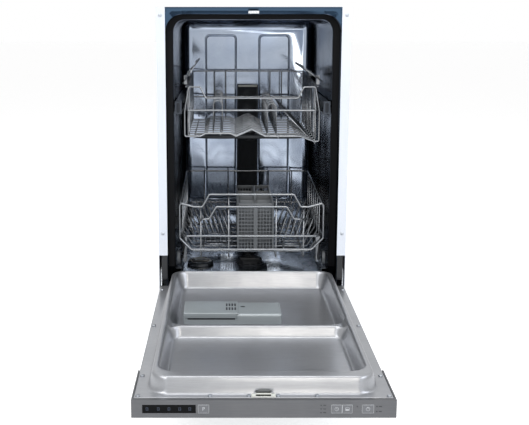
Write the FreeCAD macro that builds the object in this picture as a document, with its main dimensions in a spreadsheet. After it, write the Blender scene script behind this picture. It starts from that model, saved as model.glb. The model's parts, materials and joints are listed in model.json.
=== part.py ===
"""Slimline built-in dishwasher, drawn with its door lying open.

Millimetres, +Z up.  The origin is on the floor, in the middle of the room the open machine takes
up: +X is the user's right, +Y runs back into the machine, and the open door reaches out along -Y.
The drawing itself measures Y from the plane of the cabinet's front edge, and every piece is set
back by the formula named shift as it is placed.  Every driving dimension is a cell of the sheet
named Sizes; lengths that follow from them are the formulas in DERIVED, in the same words.
"""
import FreeCAD, Part
import math
import os
import re
from FreeCAD import Rotation, Vector

SIZES = [
    # the cabinet
    ("body_width", 448, "overall width of the cabinet"),
    ("body_depth", 550, "overall depth of the cabinet without its door"),
    ("body_height", 815, "overall height with the feet screwed in"),
    ("sheet_gauge", 0.8, "painted steel sheet"),
    ("tub_gauge", 1, "stainless tub sheet"),
    ("liner_gauge", 0.8, "stainless door liner sheet"),
    ("side_flange", 21, "width of the painted flange beside the mouth"),
    ("flange_bottom", 225, "height where the painted flanges end above the hinges"),
    ("panel_foot", 60, "height of the side panels' lower edge"),
    ("band_height", 19, "stainless band above the mouth"),
    ("panel_drop", 3, "side panels stop this far below the top"),
    ("fit_gap", 0.3, "clearance between pieces that slide or drop in"),
    ("bearing_gap", 0.05, "radial clearance of a pin in its bore"),
    ("weld_gap", 0.05, "distance at which crossing wires are welded"),
    # base
    ("foot_height", 22, "underside of the base tray"),
    ("foot_radius", 20, "foot pad"),
    ("foot_stem", 5, "radius of the foot's screw"),
    ("foot_inset", 34, "foot centre in from the cabinet's side"),
    ("tray_top", 90, "upper edge of the base tray"),
    ("tray_wall", 4, "base tray wall"),
    ("tray_front", 8, "base tray set back from the front"),
    ("tray_back", 530, "rear face of the base tray"),
    # tub
    ("mouth_radius", 40, "upper corners of the mouth"),
    ("tunnel_depth", 34, "depth from the front to the shoulder that carries the seal"),
    ("shoulder", 17, "width of that shoulder"),
    ("ceiling_drop", 13, "tub ceiling below the mouth's top"),
    ("tub_floor", 146, "height of the tub floor"),
    ("tub_back", 480, "inner face of the tub's rear wall"),
    ("tub_radius", 28, "corner radius inside the tub"),
    ("ledge_width", 14, "side ledge that the lower rack's wheels run on"),
    ("seal_depth", 6, "thickness of the door seal"),
    ("groove_width", 4, "pressed groove in the rear wall"),
    ("groove_depth", 1.5, "depth of that groove"),
    # hinge and door
    ("hinge_y", 25.5, "hinge pin behind the front"),
    ("hinge_z", 179.5, "height of the hinge pin"),
    ("hinge_pin", 4, "radius of the hinge pin"),
    ("door_gap", 3, "gap between the closed door and the cabinet"),
    ("door_thickness", 32, "door slab"),
    ("door_toe", 122, "height of the closed door's lower edge"),
    ("door_inset", 3, "door panel in from the cabinet's side"),
    ("plug_height", 29, "raised part of the liner that enters the mouth"),
    ("plug_margin", 4, "plug base in from the mouth"),
    ("plug_draft", 9, "slope of the plug's sides"),
    ("rim_width", 8, "flat rim beside the main recess"),
    ("recess_depth", 40, "main recess below the rim"),
    ("shallow_depth", 32, "upper recess below the rim"),
    ("ridge_drop", 10, "ridge between the recesses below the rim"),
    ("ridge_place", 297, "ridge from the door's tip"),
    ("console_depth", 8, "moulded front strip that carries the controls"),
    ("cheek_length", 120, "moulded cheeks behind the strip"),
    ("button_height", 14, "push button across the strip"),
    ("button_width", 17.5, "programme and option buttons"),
    ("start_width", 19, "start button"),
    ("button_travel", 1.5, "button stroke"),
    ("display_width", 90, "display window"),
    ("display_height", 14.5, "display window across the strip"),
    ("screw_radius", 2, "door screws"),
    # dispenser
    ("dispenser_left", -153, "left end of the dispenser"),
    ("dispenser_right", 54, "right end of the dispenser"),
    ("dispenser_back", 422, "far side of the dispenser from the door's tip"),
    ("dispenser_depth", 76, "dispenser along the door"),
    ("dispenser_height", 34.7, "dispenser above the recess floor"),
    ("lid_length", 114, "sliding detergent lid"),
    ("lid_travel", 30, "stroke of the lid"),
    ("rinse_radius", 14, "rinse aid cap"),
    # wires
    ("heavy_wire", 2.5, "radius of the frame wires"),
    ("loop_wire", 2, "radius of the front loops of the upper rack"),
    ("light_wire", 1.75, "radius of the floor wires"),
    ("tine_wire", 1.5, "radius of the tines"),
    # lower rack
    ("rack_front", 60, "front of the lower rack"),
    ("rack_back", 448, "back of the lower rack"),
    ("lower_side", 9, "lower rack frame in from the tub wall"),
    ("lower_floor", 201, "height of the lower rack's floor wires"),
    ("lower_ring", 257, "height of the middle frame wire"),
    ("lower_rail", 341, "height of the top rail's corners"),
    ("lower_crest", 362, "height of the raised middle of the top rail"),
    ("wheel_radius", 17, "lower rack wheel"),
    ("wheel_width", 7.5, "lower rack wheel"),
    ("wheel_front", 82, "front axle line of the lower rack"),
    ("wheel_back", 424, "rear axle line of the lower rack"),
    ("tine_height", 78, "plate tines"),
    # upper rack
    ("upper_front", 70, "front of the upper rack"),
    ("upper_back", 444, "back of the upper rack"),
    ("upper_side", 26, "upper rack frame in from the tub wall"),
    ("upper_floor", 504, "height of the cup wires' flat part"),
    ("upper_ring", 567, "height of the frame wire"),
    ("upper_rail", 624, "height of the top rail at the front"),
    ("upper_rise", 16, "rise of the top rail towards the back"),
    ("rail_height", 26, "slide rail"),
    ("rail_gauge", 1.5, "slide rail sheet"),
    ("rail_centre", 578, "height of the slide rail's axis"),
    ("rail_front", 36, "front end of the slide rail"),
    ("rail_back", 460, "rear end of the slide rail"),
    ("roller_radius", 11.2, "upper rack rollers"),
    ("roller_front", 250, "front roller line of the upper rack"),
    ("roller_back", 425, "rear roller line of the upper rack"),
    ("wall_roller", 60, "roller on the tub wall"),
    # spray system
    ("duct_half", 30, "half width of the spray duct on the rear wall"),
    ("duct_depth", 24, "depth of the spray duct"),
    ("duct_top", 600, "top of the spray duct"),
    ("feed_height", 501, "axis of the upper feed pipe"),
    ("arm_length", 300, "spray arms"),
    ("arm_width", 46, "spray arms"),
    ("arm_thickness", 12, "spray arms"),
    ("upper_hub_y", 250, "turning axis of the upper spray arm"),
    ("lower_hub_y", 285, "turning axis of the lower spray arm"),
    ("lower_arm", 168, "underside of the lower spray arm"),
    # sump group
    ("sump_y", 200, "centre of the sump"),
    ("filter_radius", 30.7, "filter cylinder"),
    ("salt_x", 130, "salt cap to the left of the middle"),
    ("salt_y", 195, "salt cap centre"),
    ("salt_radius", 34, "salt cap"),
    ("neck_radius", 27, "filler neck under the salt cap"),
    # cutlery basket
    ("basket_left", -34, "left side of the cutlery basket"),
    ("basket_width", 92, "width of the cutlery basket"),
    ("basket_front", 108, "front of the cutlery basket"),
    ("basket_length", 236, "length of the cutlery basket"),
    ("basket_height", 122, "height of the cutlery basket"),
    ("basket_wall", 2.4, "wall of the cutlery basket"),
    # services
    ("inlet_radius", 13.2, "threaded water inlet"),
    ("drain_radius", 10, "drain spigot"),
    ("service_height", 58, "height of the water connections"),
]

DERIVED = {
    "shift": "(body_height - hinge_y - hinge_z - body_depth) / 2",
    "half_body": "body_width / 2",
    "side_in": "half_body - sheet_gauge",
    "shell_back": "body_depth - sheet_gauge",
    "shell_top": "body_height - panel_drop",
    "mouth_half": "half_body - side_flange",
    "mouth_top": "body_height - band_height",
    "tub_half": "mouth_half - shoulder",
    "tub_top": "mouth_top - ceiling_drop",
    "ledge_top": "plug_top",
    "flange_z": "hinge_z - hinge_y - door_gap",
    "face_z": "flange_z - door_thickness",
    "plug_top": "flange_z + plug_height",
    "tip_y": "hinge_y + hinge_z - body_height",
    "toe_y": "hinge_y + hinge_z - door_toe",
    "strip_back": "tip_y + console_depth",
    "door_half": "half_body - door_inset",
    "recess_floor": "plug_top - recess_depth",
    "ridge_y": "tip_y + ridge_place",
    "button_z": "face_z + door_thickness / 2",
    "dispenser_y": "tip_y + dispenser_back",
    "dispenser_front": "dispenser_y - dispenser_depth",
    "dispenser_top": "recess_floor + dispenser_height",
    "lower_half": "tub_half - lower_side",
    "upper_half": "tub_half - upper_side",
    "wheel_z": "ledge_top + fit_gap + wheel_radius",
    "wheel_outer": "tub_half - 1.8",
    "rail_outer": "tub_half - 2",
    "rail_inner": "rail_outer - 16",
    "web_inner": "rail_outer - 8.5",
    "web_outer": "web_inner + rail_gauge",
    "duct_front": "tub_back - duct_depth",
    "foot_x": "half_body - foot_inset",
    "basket_bottom": "lower_floor + 2 * light_wire + light_wire + weld_gap + fit_gap",
    "basket_top": "basket_bottom + basket_height",
    "basket_mid": "basket_left + basket_width / 2",
    "upper_arm_top": "feed_height - 15",
}

SCREW_LINES = (-36, -269, -514, -594)
TURN = {"X": Rotation(Vector(0, 1, 0), 90), "Y": Rotation(Vector(1, 0, 0), -90), "Z": Rotation()}

doc = FreeCAD.newDocument("Dishwasher")
sheet = doc.addObject("Spreadsheet::Sheet", "Sizes")
for row, (alias, number, meaning) in enumerate(SIZES, start=1):
    sheet.set(f"A{row}", alias)
    sheet.set(f"B{row}", str(number))
    sheet.set(f"C{row}", meaning)
    sheet.setAlias(f"B{row}", alias)
doc.recompute()

ALIASES = {alias for alias, number, meaning in SIZES}
NODES = {}


# ---------------------------------------------------------------------------------------------
# words to expressions
# ---------------------------------------------------------------------------------------------
def formula(text):
    """Spell a formula out in the sheet's own cells."""
    def spell(match):
        word = match.group(0)
        if word in DERIVED:
            return "(" + formula(DERIVED[word]) + ")"
        return "Sizes." + word if word in ALIASES else word
    return re.sub(r"[A-Za-z_]\w*", spell, str(text))


def size(text):
    """The present value of a formula, for shapes that are built point by point."""
    return float(sheet.evalExpression(formula(text)))


def span(pair):
    """Formulas for the start and the length of an interval."""
    low, high = pair
    return formula(low), f"({formula(high)}) - ({formula(low)})"


def place(item, x, y, z, turn="Z"):
    """Bind an object's position and give it its fixed direction."""
    item.Placement.Rotation = TURN[turn]
    for letter, text in zip("xyz", (x, f"shift + {y}", z)):
        item.setExpression(f"Placement.Base.{letter}", formula(text))
    return item


# ---------------------------------------------------------------------------------------------
# solids
# ---------------------------------------------------------------------------------------------
def block(label, x, y, z):
    """A box between three pairs of formulas."""
    item = doc.addObject("Part::Box", label)
    starts = []
    for name, pair in zip(("Length", "Width", "Height"), (x, y, z)):
        start, length = span(pair)
        starts.append(pair[0])
        item.setExpression(name, length)
    return place(item, *starts)


def rod(label, radius, x, y, z):
    """A cylinder: the coordinate given as a pair is the one it runs along."""
    item = doc.addObject("Part::Cylinder", label)
    item.setExpression("Radius", formula(radius))
    for letter, text in zip("XYZ", (x, y, z)):
        if isinstance(text, tuple):
            turn = letter
            item.setExpression("Height", span(text)[1])
    starts = [text[0] if isinstance(text, tuple) else text for text in (x, y, z)]
    return place(item, *starts, turn=turn)


def fuse(label, *items):
    """One piece made of several solids."""
    item = doc.addObject("Part::MultiFuse", label)
    item.Shapes = list(items)
    item.Refine = True
    return item


def cut(label, base, *tools):
    """A piece with openings cut out of it."""
    item = doc.addObject("Part::Cut", label)
    item.Base = base
    item.Tool = tools[0] if len(tools) == 1 else fuse(label + "_openings", *tools)
    item.Refine = True
    return item


def group(label, *items):
    """Several separate solids kept in one sub-part."""
    item = doc.addObject("Part::Compound", label)
    item.Links = list(items)
    return item


def mirrored(item):
    """The same piece on the other side of the middle plane."""
    twin = doc.addObject("Part::Mirroring", item.Name + "_twin")
    twin.Source = item
    twin.Normal = (1, 0, 0)
    twin.Base = (0, 0, 0)
    return twin


def pair(label, item):
    """A right-hand piece and its left-hand twin."""
    return group(label, item, mirrored(item))


def shaped(label, shapes):
    """A feature that holds solids worked out point by point."""
    item = doc.addObject("Part::Feature", label)
    item.Shape = shapes if isinstance(shapes, Part.Shape) else Part.makeCompound(shapes)
    item.setExpression("Placement.Base.y", formula("shift"))
    return item


def node(label, item):
    """Name a finished sub-part."""
    item.Label = label
    NODES[label] = item
    return item


# ---------------------------------------------------------------------------------------------
# sketched bodies
# ---------------------------------------------------------------------------------------------
def new_body(name):
    return doc.addObject("PartDesign::Body", name)


def new_sketch(body, name, role="XY_Plane", height="0"):
    """A sketch on one of the body's own origin planes, raised by a formula."""
    sketch = body.newObject("Sketcher::SketchObject", name)
    plane = [item for item in body.Origin.OriginFeatures if item.Role == role][0]
    sketch.AttachmentSupport = [(plane, "")]
    sketch.MapMode = "FlatFace"
    sketch.setExpression("AttachmentOffset.Base.z", formula(height))
    return sketch


def sketch_rectangle(sketch, width, depth):
    """A rectangle centred on the sketch's origin."""
    import Sketcher
    w, d = size(width) / 2, size(depth) / 2
    corners = [Vector(-w, -d, 0), Vector(w, -d, 0), Vector(w, d, 0), Vector(-w, d, 0)]
    for here, there in zip(corners, corners[1:] + corners[:1]):
        sketch.addGeometry(Part.LineSegment(here, there), False)
    for index in range(4):
        sketch.addConstraint(Sketcher.Constraint("Coincident", index, 2, (index + 1) % 4, 1))
    for index, kind in enumerate(("Horizontal", "Vertical", "Horizontal", "Vertical")):
        sketch.addConstraint(Sketcher.Constraint(kind, index))
    sketch.addConstraint(Sketcher.Constraint("Symmetric", 0, 1, 2, 1, -1, 1))
    across = sketch.addConstraint(Sketcher.Constraint("DistanceX", 0, 1, 0, 2, 2 * w))
    along = sketch.addConstraint(Sketcher.Constraint("DistanceY", 1, 1, 1, 2, 2 * d))
    sketch.setExpression(f"Constraints[{across}]", formula(width))
    sketch.setExpression(f"Constraints[{along}]", formula(depth))


def sketch_circle(sketch, radius):
    """A circle centred on the sketch's origin."""
    import Sketcher
    circle = sketch.addGeometry(Part.Circle(Vector(), Vector(0, 0, 1), size(radius)), False)
    sketch.addConstraint(Sketcher.Constraint("Coincident", circle, 3, -1, 1))
    bound = sketch.addConstraint(Sketcher.Constraint("Radius", circle, size(radius)))
    sketch.setExpression(f"Constraints[{bound}]", formula(radius))


def pad(body, sketch, length):
    feature = body.newObject("PartDesign::Pad", sketch.Name + "_pad")
    feature.Profile = sketch
    feature.setExpression("Length", formula(length))
    doc.recompute()
    return feature


def drill(body, radius, name):
    """A hole right through the body along its own Z axis."""
    sketch = new_sketch(body, name)
    sketch_circle(sketch, radius)
    feature = body.newObject("PartDesign::Pocket", name + "_pocket")
    feature.Profile = sketch
    feature.Type = "ThroughAll"
    feature.Midplane = True
    doc.recompute()
    return feature


def round_edges(body, radius, wanted):
    """Fillet the edges of the body's tip that the test picks out."""
    tip = body.Tip
    names = [f"Edge{i}" for i, edge in enumerate(tip.Shape.Edges, start=1) if wanted(edge)]
    feature = body.newObject("PartDesign::Fillet", body.Name + "_fillet" + str(len(body.Group)))
    feature.Base = (tip, names)
    feature.setExpression("Radius", formula(radius))
    doc.recompute()
    return feature


def upright(edge):
    """True for a straight edge along Z."""
    box = edge.BoundBox
    return box.ZLength > 1 and box.XLength < 0.01 and box.YLength < 0.01


def disc_body(name, radius, width, bore=None, edge="0.8"):
    """A turned disc on its own Z axis, with rounded rims and an optional bore."""
    body = new_body(name)
    sketch = new_sketch(body, name + "_face")
    sketch_circle(sketch, radius)
    pad(body, sketch, width)
    round_edges(body, edge, lambda item: item.Closed)
    if bore:
        drill(body, bore, name + "_bore")
    return body


# ---------------------------------------------------------------------------------------------
# outlines and wires
# ---------------------------------------------------------------------------------------------
def path(points, bend, closed=False):
    """Straight runs joined by tangent arcs of one radius."""
    corners = [Vector(*point) for point in points]
    joints = []
    for index, corner in enumerate(corners):
        if not closed and index in (0, len(corners) - 1):
            joints.append((corner, None, corner))
            continue
        back = (corners[index - 1] - corner).normalize()
        ahead = (corners[(index + 1) % len(corners)] - corner).normalize()
        half = back.getAngle(ahead) / 2
        reach = bend / math.tan(half)
        middle = corner + (back + ahead).normalize() * (bend / math.sin(half) - bend)
        joints.append((corner + back * reach, middle, corner + ahead * reach))
    edges = []
    for index, (start, middle, end) in enumerate(joints):
        if middle is not None:
            edges.append(Part.Arc(start, middle, end).toShape())
        if closed or index < len(joints) - 1:
            following = joints[(index + 1) % len(joints)][0]
            edges.append(Part.LineSegment(end, following).toShape())
    return Part.Wire(edges)


def wire(points, radius, bend, closed=False):
    """A bent round wire."""
    route = path(points, bend, closed)
    first = route.OrderedEdges[0]
    start = first.valueAt(first.FirstParameter)
    circle = Part.Circle(start, first.tangentAt(first.FirstParameter), radius)
    return route.makePipeShell([Part.Wire([circle.toShape()])], True, True)


def straight(start, end, radius):
    """A straight round wire between two points."""
    start, end = Vector(*start), Vector(*end)
    return Part.makeCylinder(radius, (end - start).Length, start, end - start)


def arch(left, right, bottom, top, radius, y):
    """A doorway outline in the XZ plane: square below, with rounded upper corners."""
    k = radius * (1 - math.sqrt(0.5))
    points = [Vector(left, y, bottom), Vector(left, y, top - radius), Vector(left + k, y, top - k),
              Vector(left + radius, y, top), Vector(right - radius, y, top),
              Vector(right - k, y, top - k), Vector(right, y, top - radius),
              Vector(right, y, bottom)]
    edges = [Part.LineSegment(points[0], points[1]), Part.Arc(points[1], points[2], points[3]),
             Part.LineSegment(points[3], points[4]), Part.Arc(points[4], points[5], points[6]),
             Part.LineSegment(points[6], points[7]), Part.LineSegment(points[7], points[0])]
    return Part.Wire([edge.toShape() for edge in edges])


def arch_prism(left, right, bottom, top, radius, front, back):
    """A doorway outline carried back along Y."""
    return Part.Face(arch(left, right, bottom, top, radius, front)).extrude(
        Vector(0, back - front, 0))


def rounded(x, y, z, radius):
    """A level rectangle with four rounded corners, from corner pairs."""
    corners = [(x[0], y[0], z), (x[1], y[0], z), (x[1], y[1], z), (x[0], y[1], z)]
    return path(corners, radius, closed=True)


def tapered(low_x, low_y, low_z, high_x, high_y, high_z, radius):
    """A block between two level rounded rectangles."""
    wires = [rounded(low_x, low_y, low_z, radius), rounded(high_x, high_y, high_z, radius)]
    return Part.makeLoft(wires, True, True)


def steps(first, last, count):
    """Evenly spaced places from the first to the last."""
    return [first + (last - first) * index / (count - 1) for index in range(count)]


# ---------------------------------------------------------------------------------------------
# cabinet
# ---------------------------------------------------------------------------------------------
def make_base():
    outer = block("tray_block", ("-side_in", "side_in"), ("tray_front", "tray_back"),
                  ("foot_height", "tray_top"))
    hollow = block("tray_hollow", ("tray_wall - side_in", "side_in - tray_wall"),
                   ("tray_front + tray_wall", "tray_back - tray_wall"),
                   ("foot_height + tray_wall", "tray_top + 1"))
    shell = cut("tray_shell", outer, hollow)
    places = {"front_foot_left": ("-foot_x", "tray_front + 37"),
              "front_foot_right": ("foot_x", "tray_front + 37"),
              "rear_foot": ("0", "tray_back - 40")}
    bosses = [rod(name + "_boss", "foot_stem + 4", x, y, ("foot_height", "foot_height + 42"))
              for name, (x, y) in places.items()]
    bores = [rod(name + "_bore", "foot_stem + bearing_gap", x, y,
                 ("foot_height - 1", "foot_height + 43")) for name, (x, y) in places.items()]
    ports = [rod("inlet_port", "inlet_radius + fit_gap", "-150",
                 ("tray_back - 10", "tray_back + 1"), "service_height"),
             rod("drain_port", "drain_radius + fit_gap", "150",
                 ("tray_back - 10", "tray_back + 1"), "service_height")]
    tray = cut("tray_cut", fuse("tray_solid", shell, *bosses), *bores, *ports)
    gland = cut("gland_ring", rod("gland_body", "8", "80", ("tray_back", "tray_back + 15"),
                                  "service_height"),
                rod("gland_bore", "4", "80", ("tray_back - 1", "tray_back + 16"),
                    "service_height"))
    node("base_tray", group("base_group", tray, gland))
    for name, (x, y) in places.items():
        foot_pad = rod(name + "_pad", "foot_radius", x, y, ("0", "8"))
        nut = rod(name + "_nut", "foot_stem + 4", x, y, ("8", "foot_height - fit_gap"))
        stem = rod(name + "_stem", "foot_stem", x, y, ("foot_height - 4", "foot_height + 36"))
        node(name, fuse(name + "_piece", foot_pad, nut, stem))


def make_shell():
    panel = block("side_sheet", ("side_in", "half_body"), ("0", "shell_back"),
                  ("panel_foot", "shell_top"))
    flange = block("side_fold", ("mouth_half", "half_body"), ("0", "sheet_gauge"),
                   ("flange_bottom", "shell_top"))
    holes = [rod(f"plug_hole_{i}", "3", "mouth_half + 11", ("-1", "sheet_gauge + 1"), z)
             for i, z in enumerate(("flange_bottom + 55", "body_height - 21"))]
    right = cut("side_piece", fuse("side_solid", panel, flange), *holes)
    left = mirrored(right)
    node("side_panel_right", right)
    node("side_panel_left", left)
    node("rear_panel", block("rear_sheet", ("-half_body", "half_body"),
                             ("shell_back", "body_depth"), ("tray_top + 2", "shell_top")))
    bars = []
    for name, front in (("front", "tunnel_depth + 6"), ("rear", "body_depth - 60")):
        bar = block(name + "_bar", ("-side_in", "side_in"), (front, front + " + 20"),
                    ("shell_top - 12", "shell_top"))
        holes = [rod(f"{name}_bar_hole_{side}", "2.5", f"{side} * 150", front + " + 10",
                     ("shell_top - 13", "shell_top + 1")) for side in (-1, 1)]
        bars.append(cut(name + "_crossbar", bar, *holes))
    node("top_crossbars", group("crossbar_group", *bars))
    plugs = []
    for index, z in enumerate(("flange_bottom + 55", "body_height - 21")):
        head = rod(f"plug_head_{index}", "4.5", "mouth_half + 11", ("-0.9", "0"), z)
        shank = rod(f"plug_shank_{index}", "2.9", "mouth_half + 11", ("-1", "6"), z)
        plugs.append(fuse(f"plug_{index}", head, shank))
    twins = [mirrored(plug) for plug in plugs]
    node("flange_plugs", group("plug_group", *plugs, *twins))


def make_tub():
    half, top, floor = size("tub_half"), size("tub_top"), size("tub_floor")
    mouth, mouth_top = size("mouth_half"), size("mouth_top")
    gauge, front, back = size("tub_gauge"), size("tunnel_depth"), size("tub_back")
    corner, mouth_corner = size("tub_radius"), size("mouth_radius")

    def chamber(grow, start):
        """The tub's inside, rounded where the rear wall meets the sides and the ceiling."""
        solid = arch_prism(-half - grow, half + grow, floor, top + grow, corner + grow, start,
                           back + grow)
        rear = [edge for edge in solid.Edges
                if edge.BoundBox.YMin > back + grow - 0.01 and edge.BoundBox.ZMax > floor + 1]
        return solid.makeFillet(corner + grow, rear)

    tunnel = arch_prism(-mouth - gauge, mouth + gauge, floor, mouth_top + gauge,
                        mouth_corner + gauge, gauge, front)
    band = Part.makeBox(2 * mouth, gauge, size("shell_top") - mouth_top + mouth_corner,
                        Vector(-mouth, 0, mouth_top - mouth_corner))
    void = arch_prism(-mouth, mouth, floor - 1, mouth_top, mouth_corner, -1, front - gauge)
    shell = chamber(gauge, front - gauge).fuse([tunnel, band])
    shell = shell.cut(void).cut(chamber(0, front - 2 * gauge))
    width, depth = size("groove_width"), size("groove_depth")
    for side in (-1, 1):
        edges = sorted((side * 32, side * 122))
        bead = []
        for grow, behind in ((1.5, depth + gauge), (0, depth)):
            outer = arch_prism(edges[0] - grow, edges[1] + grow, 260 - grow, top - 41 + grow,
                               12 + grow, back - (grow == 0), back + behind)
            inner = arch_prism(edges[0] + width + grow, edges[1] - width - grow,
                               260 + width + grow, top - 41 - width - grow, 9, back - 2,
                               back + behind + 1)
            bead.append(outer.cut(inner))
        shell = shell.fuse(bead[0]).cut(bead[1])
    pins, guides = [], []
    for side in (-1, 1):
        pin_end = side * (size("web_outer") + 0.8)
        pins.append(straight((side * half, size("wall_roller"), size("rail_centre")),
                             (pin_end, size("wall_roller"), size("rail_centre")), 3))
        inner = sorted((side * half, side * (size("web_outer") + 0.3)))
        guides.append(Part.makeBox(inner[1] - inner[0], 20, size("rail_height") - 4,
                                   Vector(inner[0], 145,
                                          size("rail_centre - rail_height / 2 + 2"))))
    panels = []
    far_side, high = half + 60, top + 60
    for x0, x1 in ((-far_side, corner - half), (corner - half, half - corner),
                   (half - corner, far_side)):
        for y0, y1 in ((-1, front), (front, back - corner), (back - corner, back + 10)):
            for z0, z1 in ((floor - 1, top - corner), (top - corner, high)):
                cell = Part.makeBox(x1 - x0, y1 - y0, z1 - z0, Vector(x0, y0, z0))
                panels += shell.common(cell).Solids
    node("tub_shell", shaped("tub_shell_piece", panels + pins + guides))

    pan = block("pan_sheet", ("-tub_half - tub_gauge", "tub_half + tub_gauge"),
                ("tunnel_depth - tub_gauge", "tub_back"), ("tub_floor - tub_gauge", "tub_floor"))
    lip = block("pan_lip", ("-tub_half", "tub_half"), ("tunnel_depth + 3", "tunnel_depth + 4"),
                ("tub_floor", "tub_floor + 6"))
    ledge = block("pan_ledge", ("tub_half - ledge_width", "tub_half"),
                  ("tunnel_depth + 12", "tub_back - tub_radius"), ("ledge_top - 2", "ledge_top"))
    web = block("pan_web", ("tub_half - ledge_width", "tub_half - ledge_width + tub_gauge"),
                ("tunnel_depth + 12", "tub_back - tub_radius"), ("tub_floor", "ledge_top - 2"))
    holes = [rod("sump_hole", "filter_radius + 8", "0", "sump_y",
                 ("tub_floor - 2", "tub_floor + 1")),
             rod("neck_hole", "neck_radius + fit_gap", "-salt_x", "salt_y",
                 ("tub_floor - 2", "tub_floor + 1")),
             rod("riser_hole", "12 + fit_gap", "0", "lower_hub_y",
                 ("tub_floor - 2", "tub_floor + 1"))]
    side = fuse("pan_side", ledge, web)
    node("tub_floor", cut("pan_piece", fuse("pan_solid", pan, lip, side, mirrored(side)), *holes))

    seal_front = front - gauge - size("seal_depth")
    outer = arch_prism(-mouth + 1, mouth - 1, floor + 44, mouth_top - 1, mouth_corner - 1,
                       seal_front, front - gauge)
    inner = arch_prism(-half - 1, half + 1, floor + 43, top + 1, corner + 1, seal_front - 1, front)
    sill = Part.makeBox(2 * half, 6, 5, Vector(-half, front + 3, floor + 6))
    node("tub_seal", shaped("tub_seal_piece", [outer.cut(inner), sill]))

    plate = block("striker_plate", ("-12", "12"), ("-16", "0"), ("mouth_top + 1", "mouth_top + 7"))
    window = block("striker_window", ("-8", "8"), ("-12", "-4"), ("mouth_top", "mouth_top + 8"))
    node("latch_striker", cut("striker_piece", plate, window))


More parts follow.
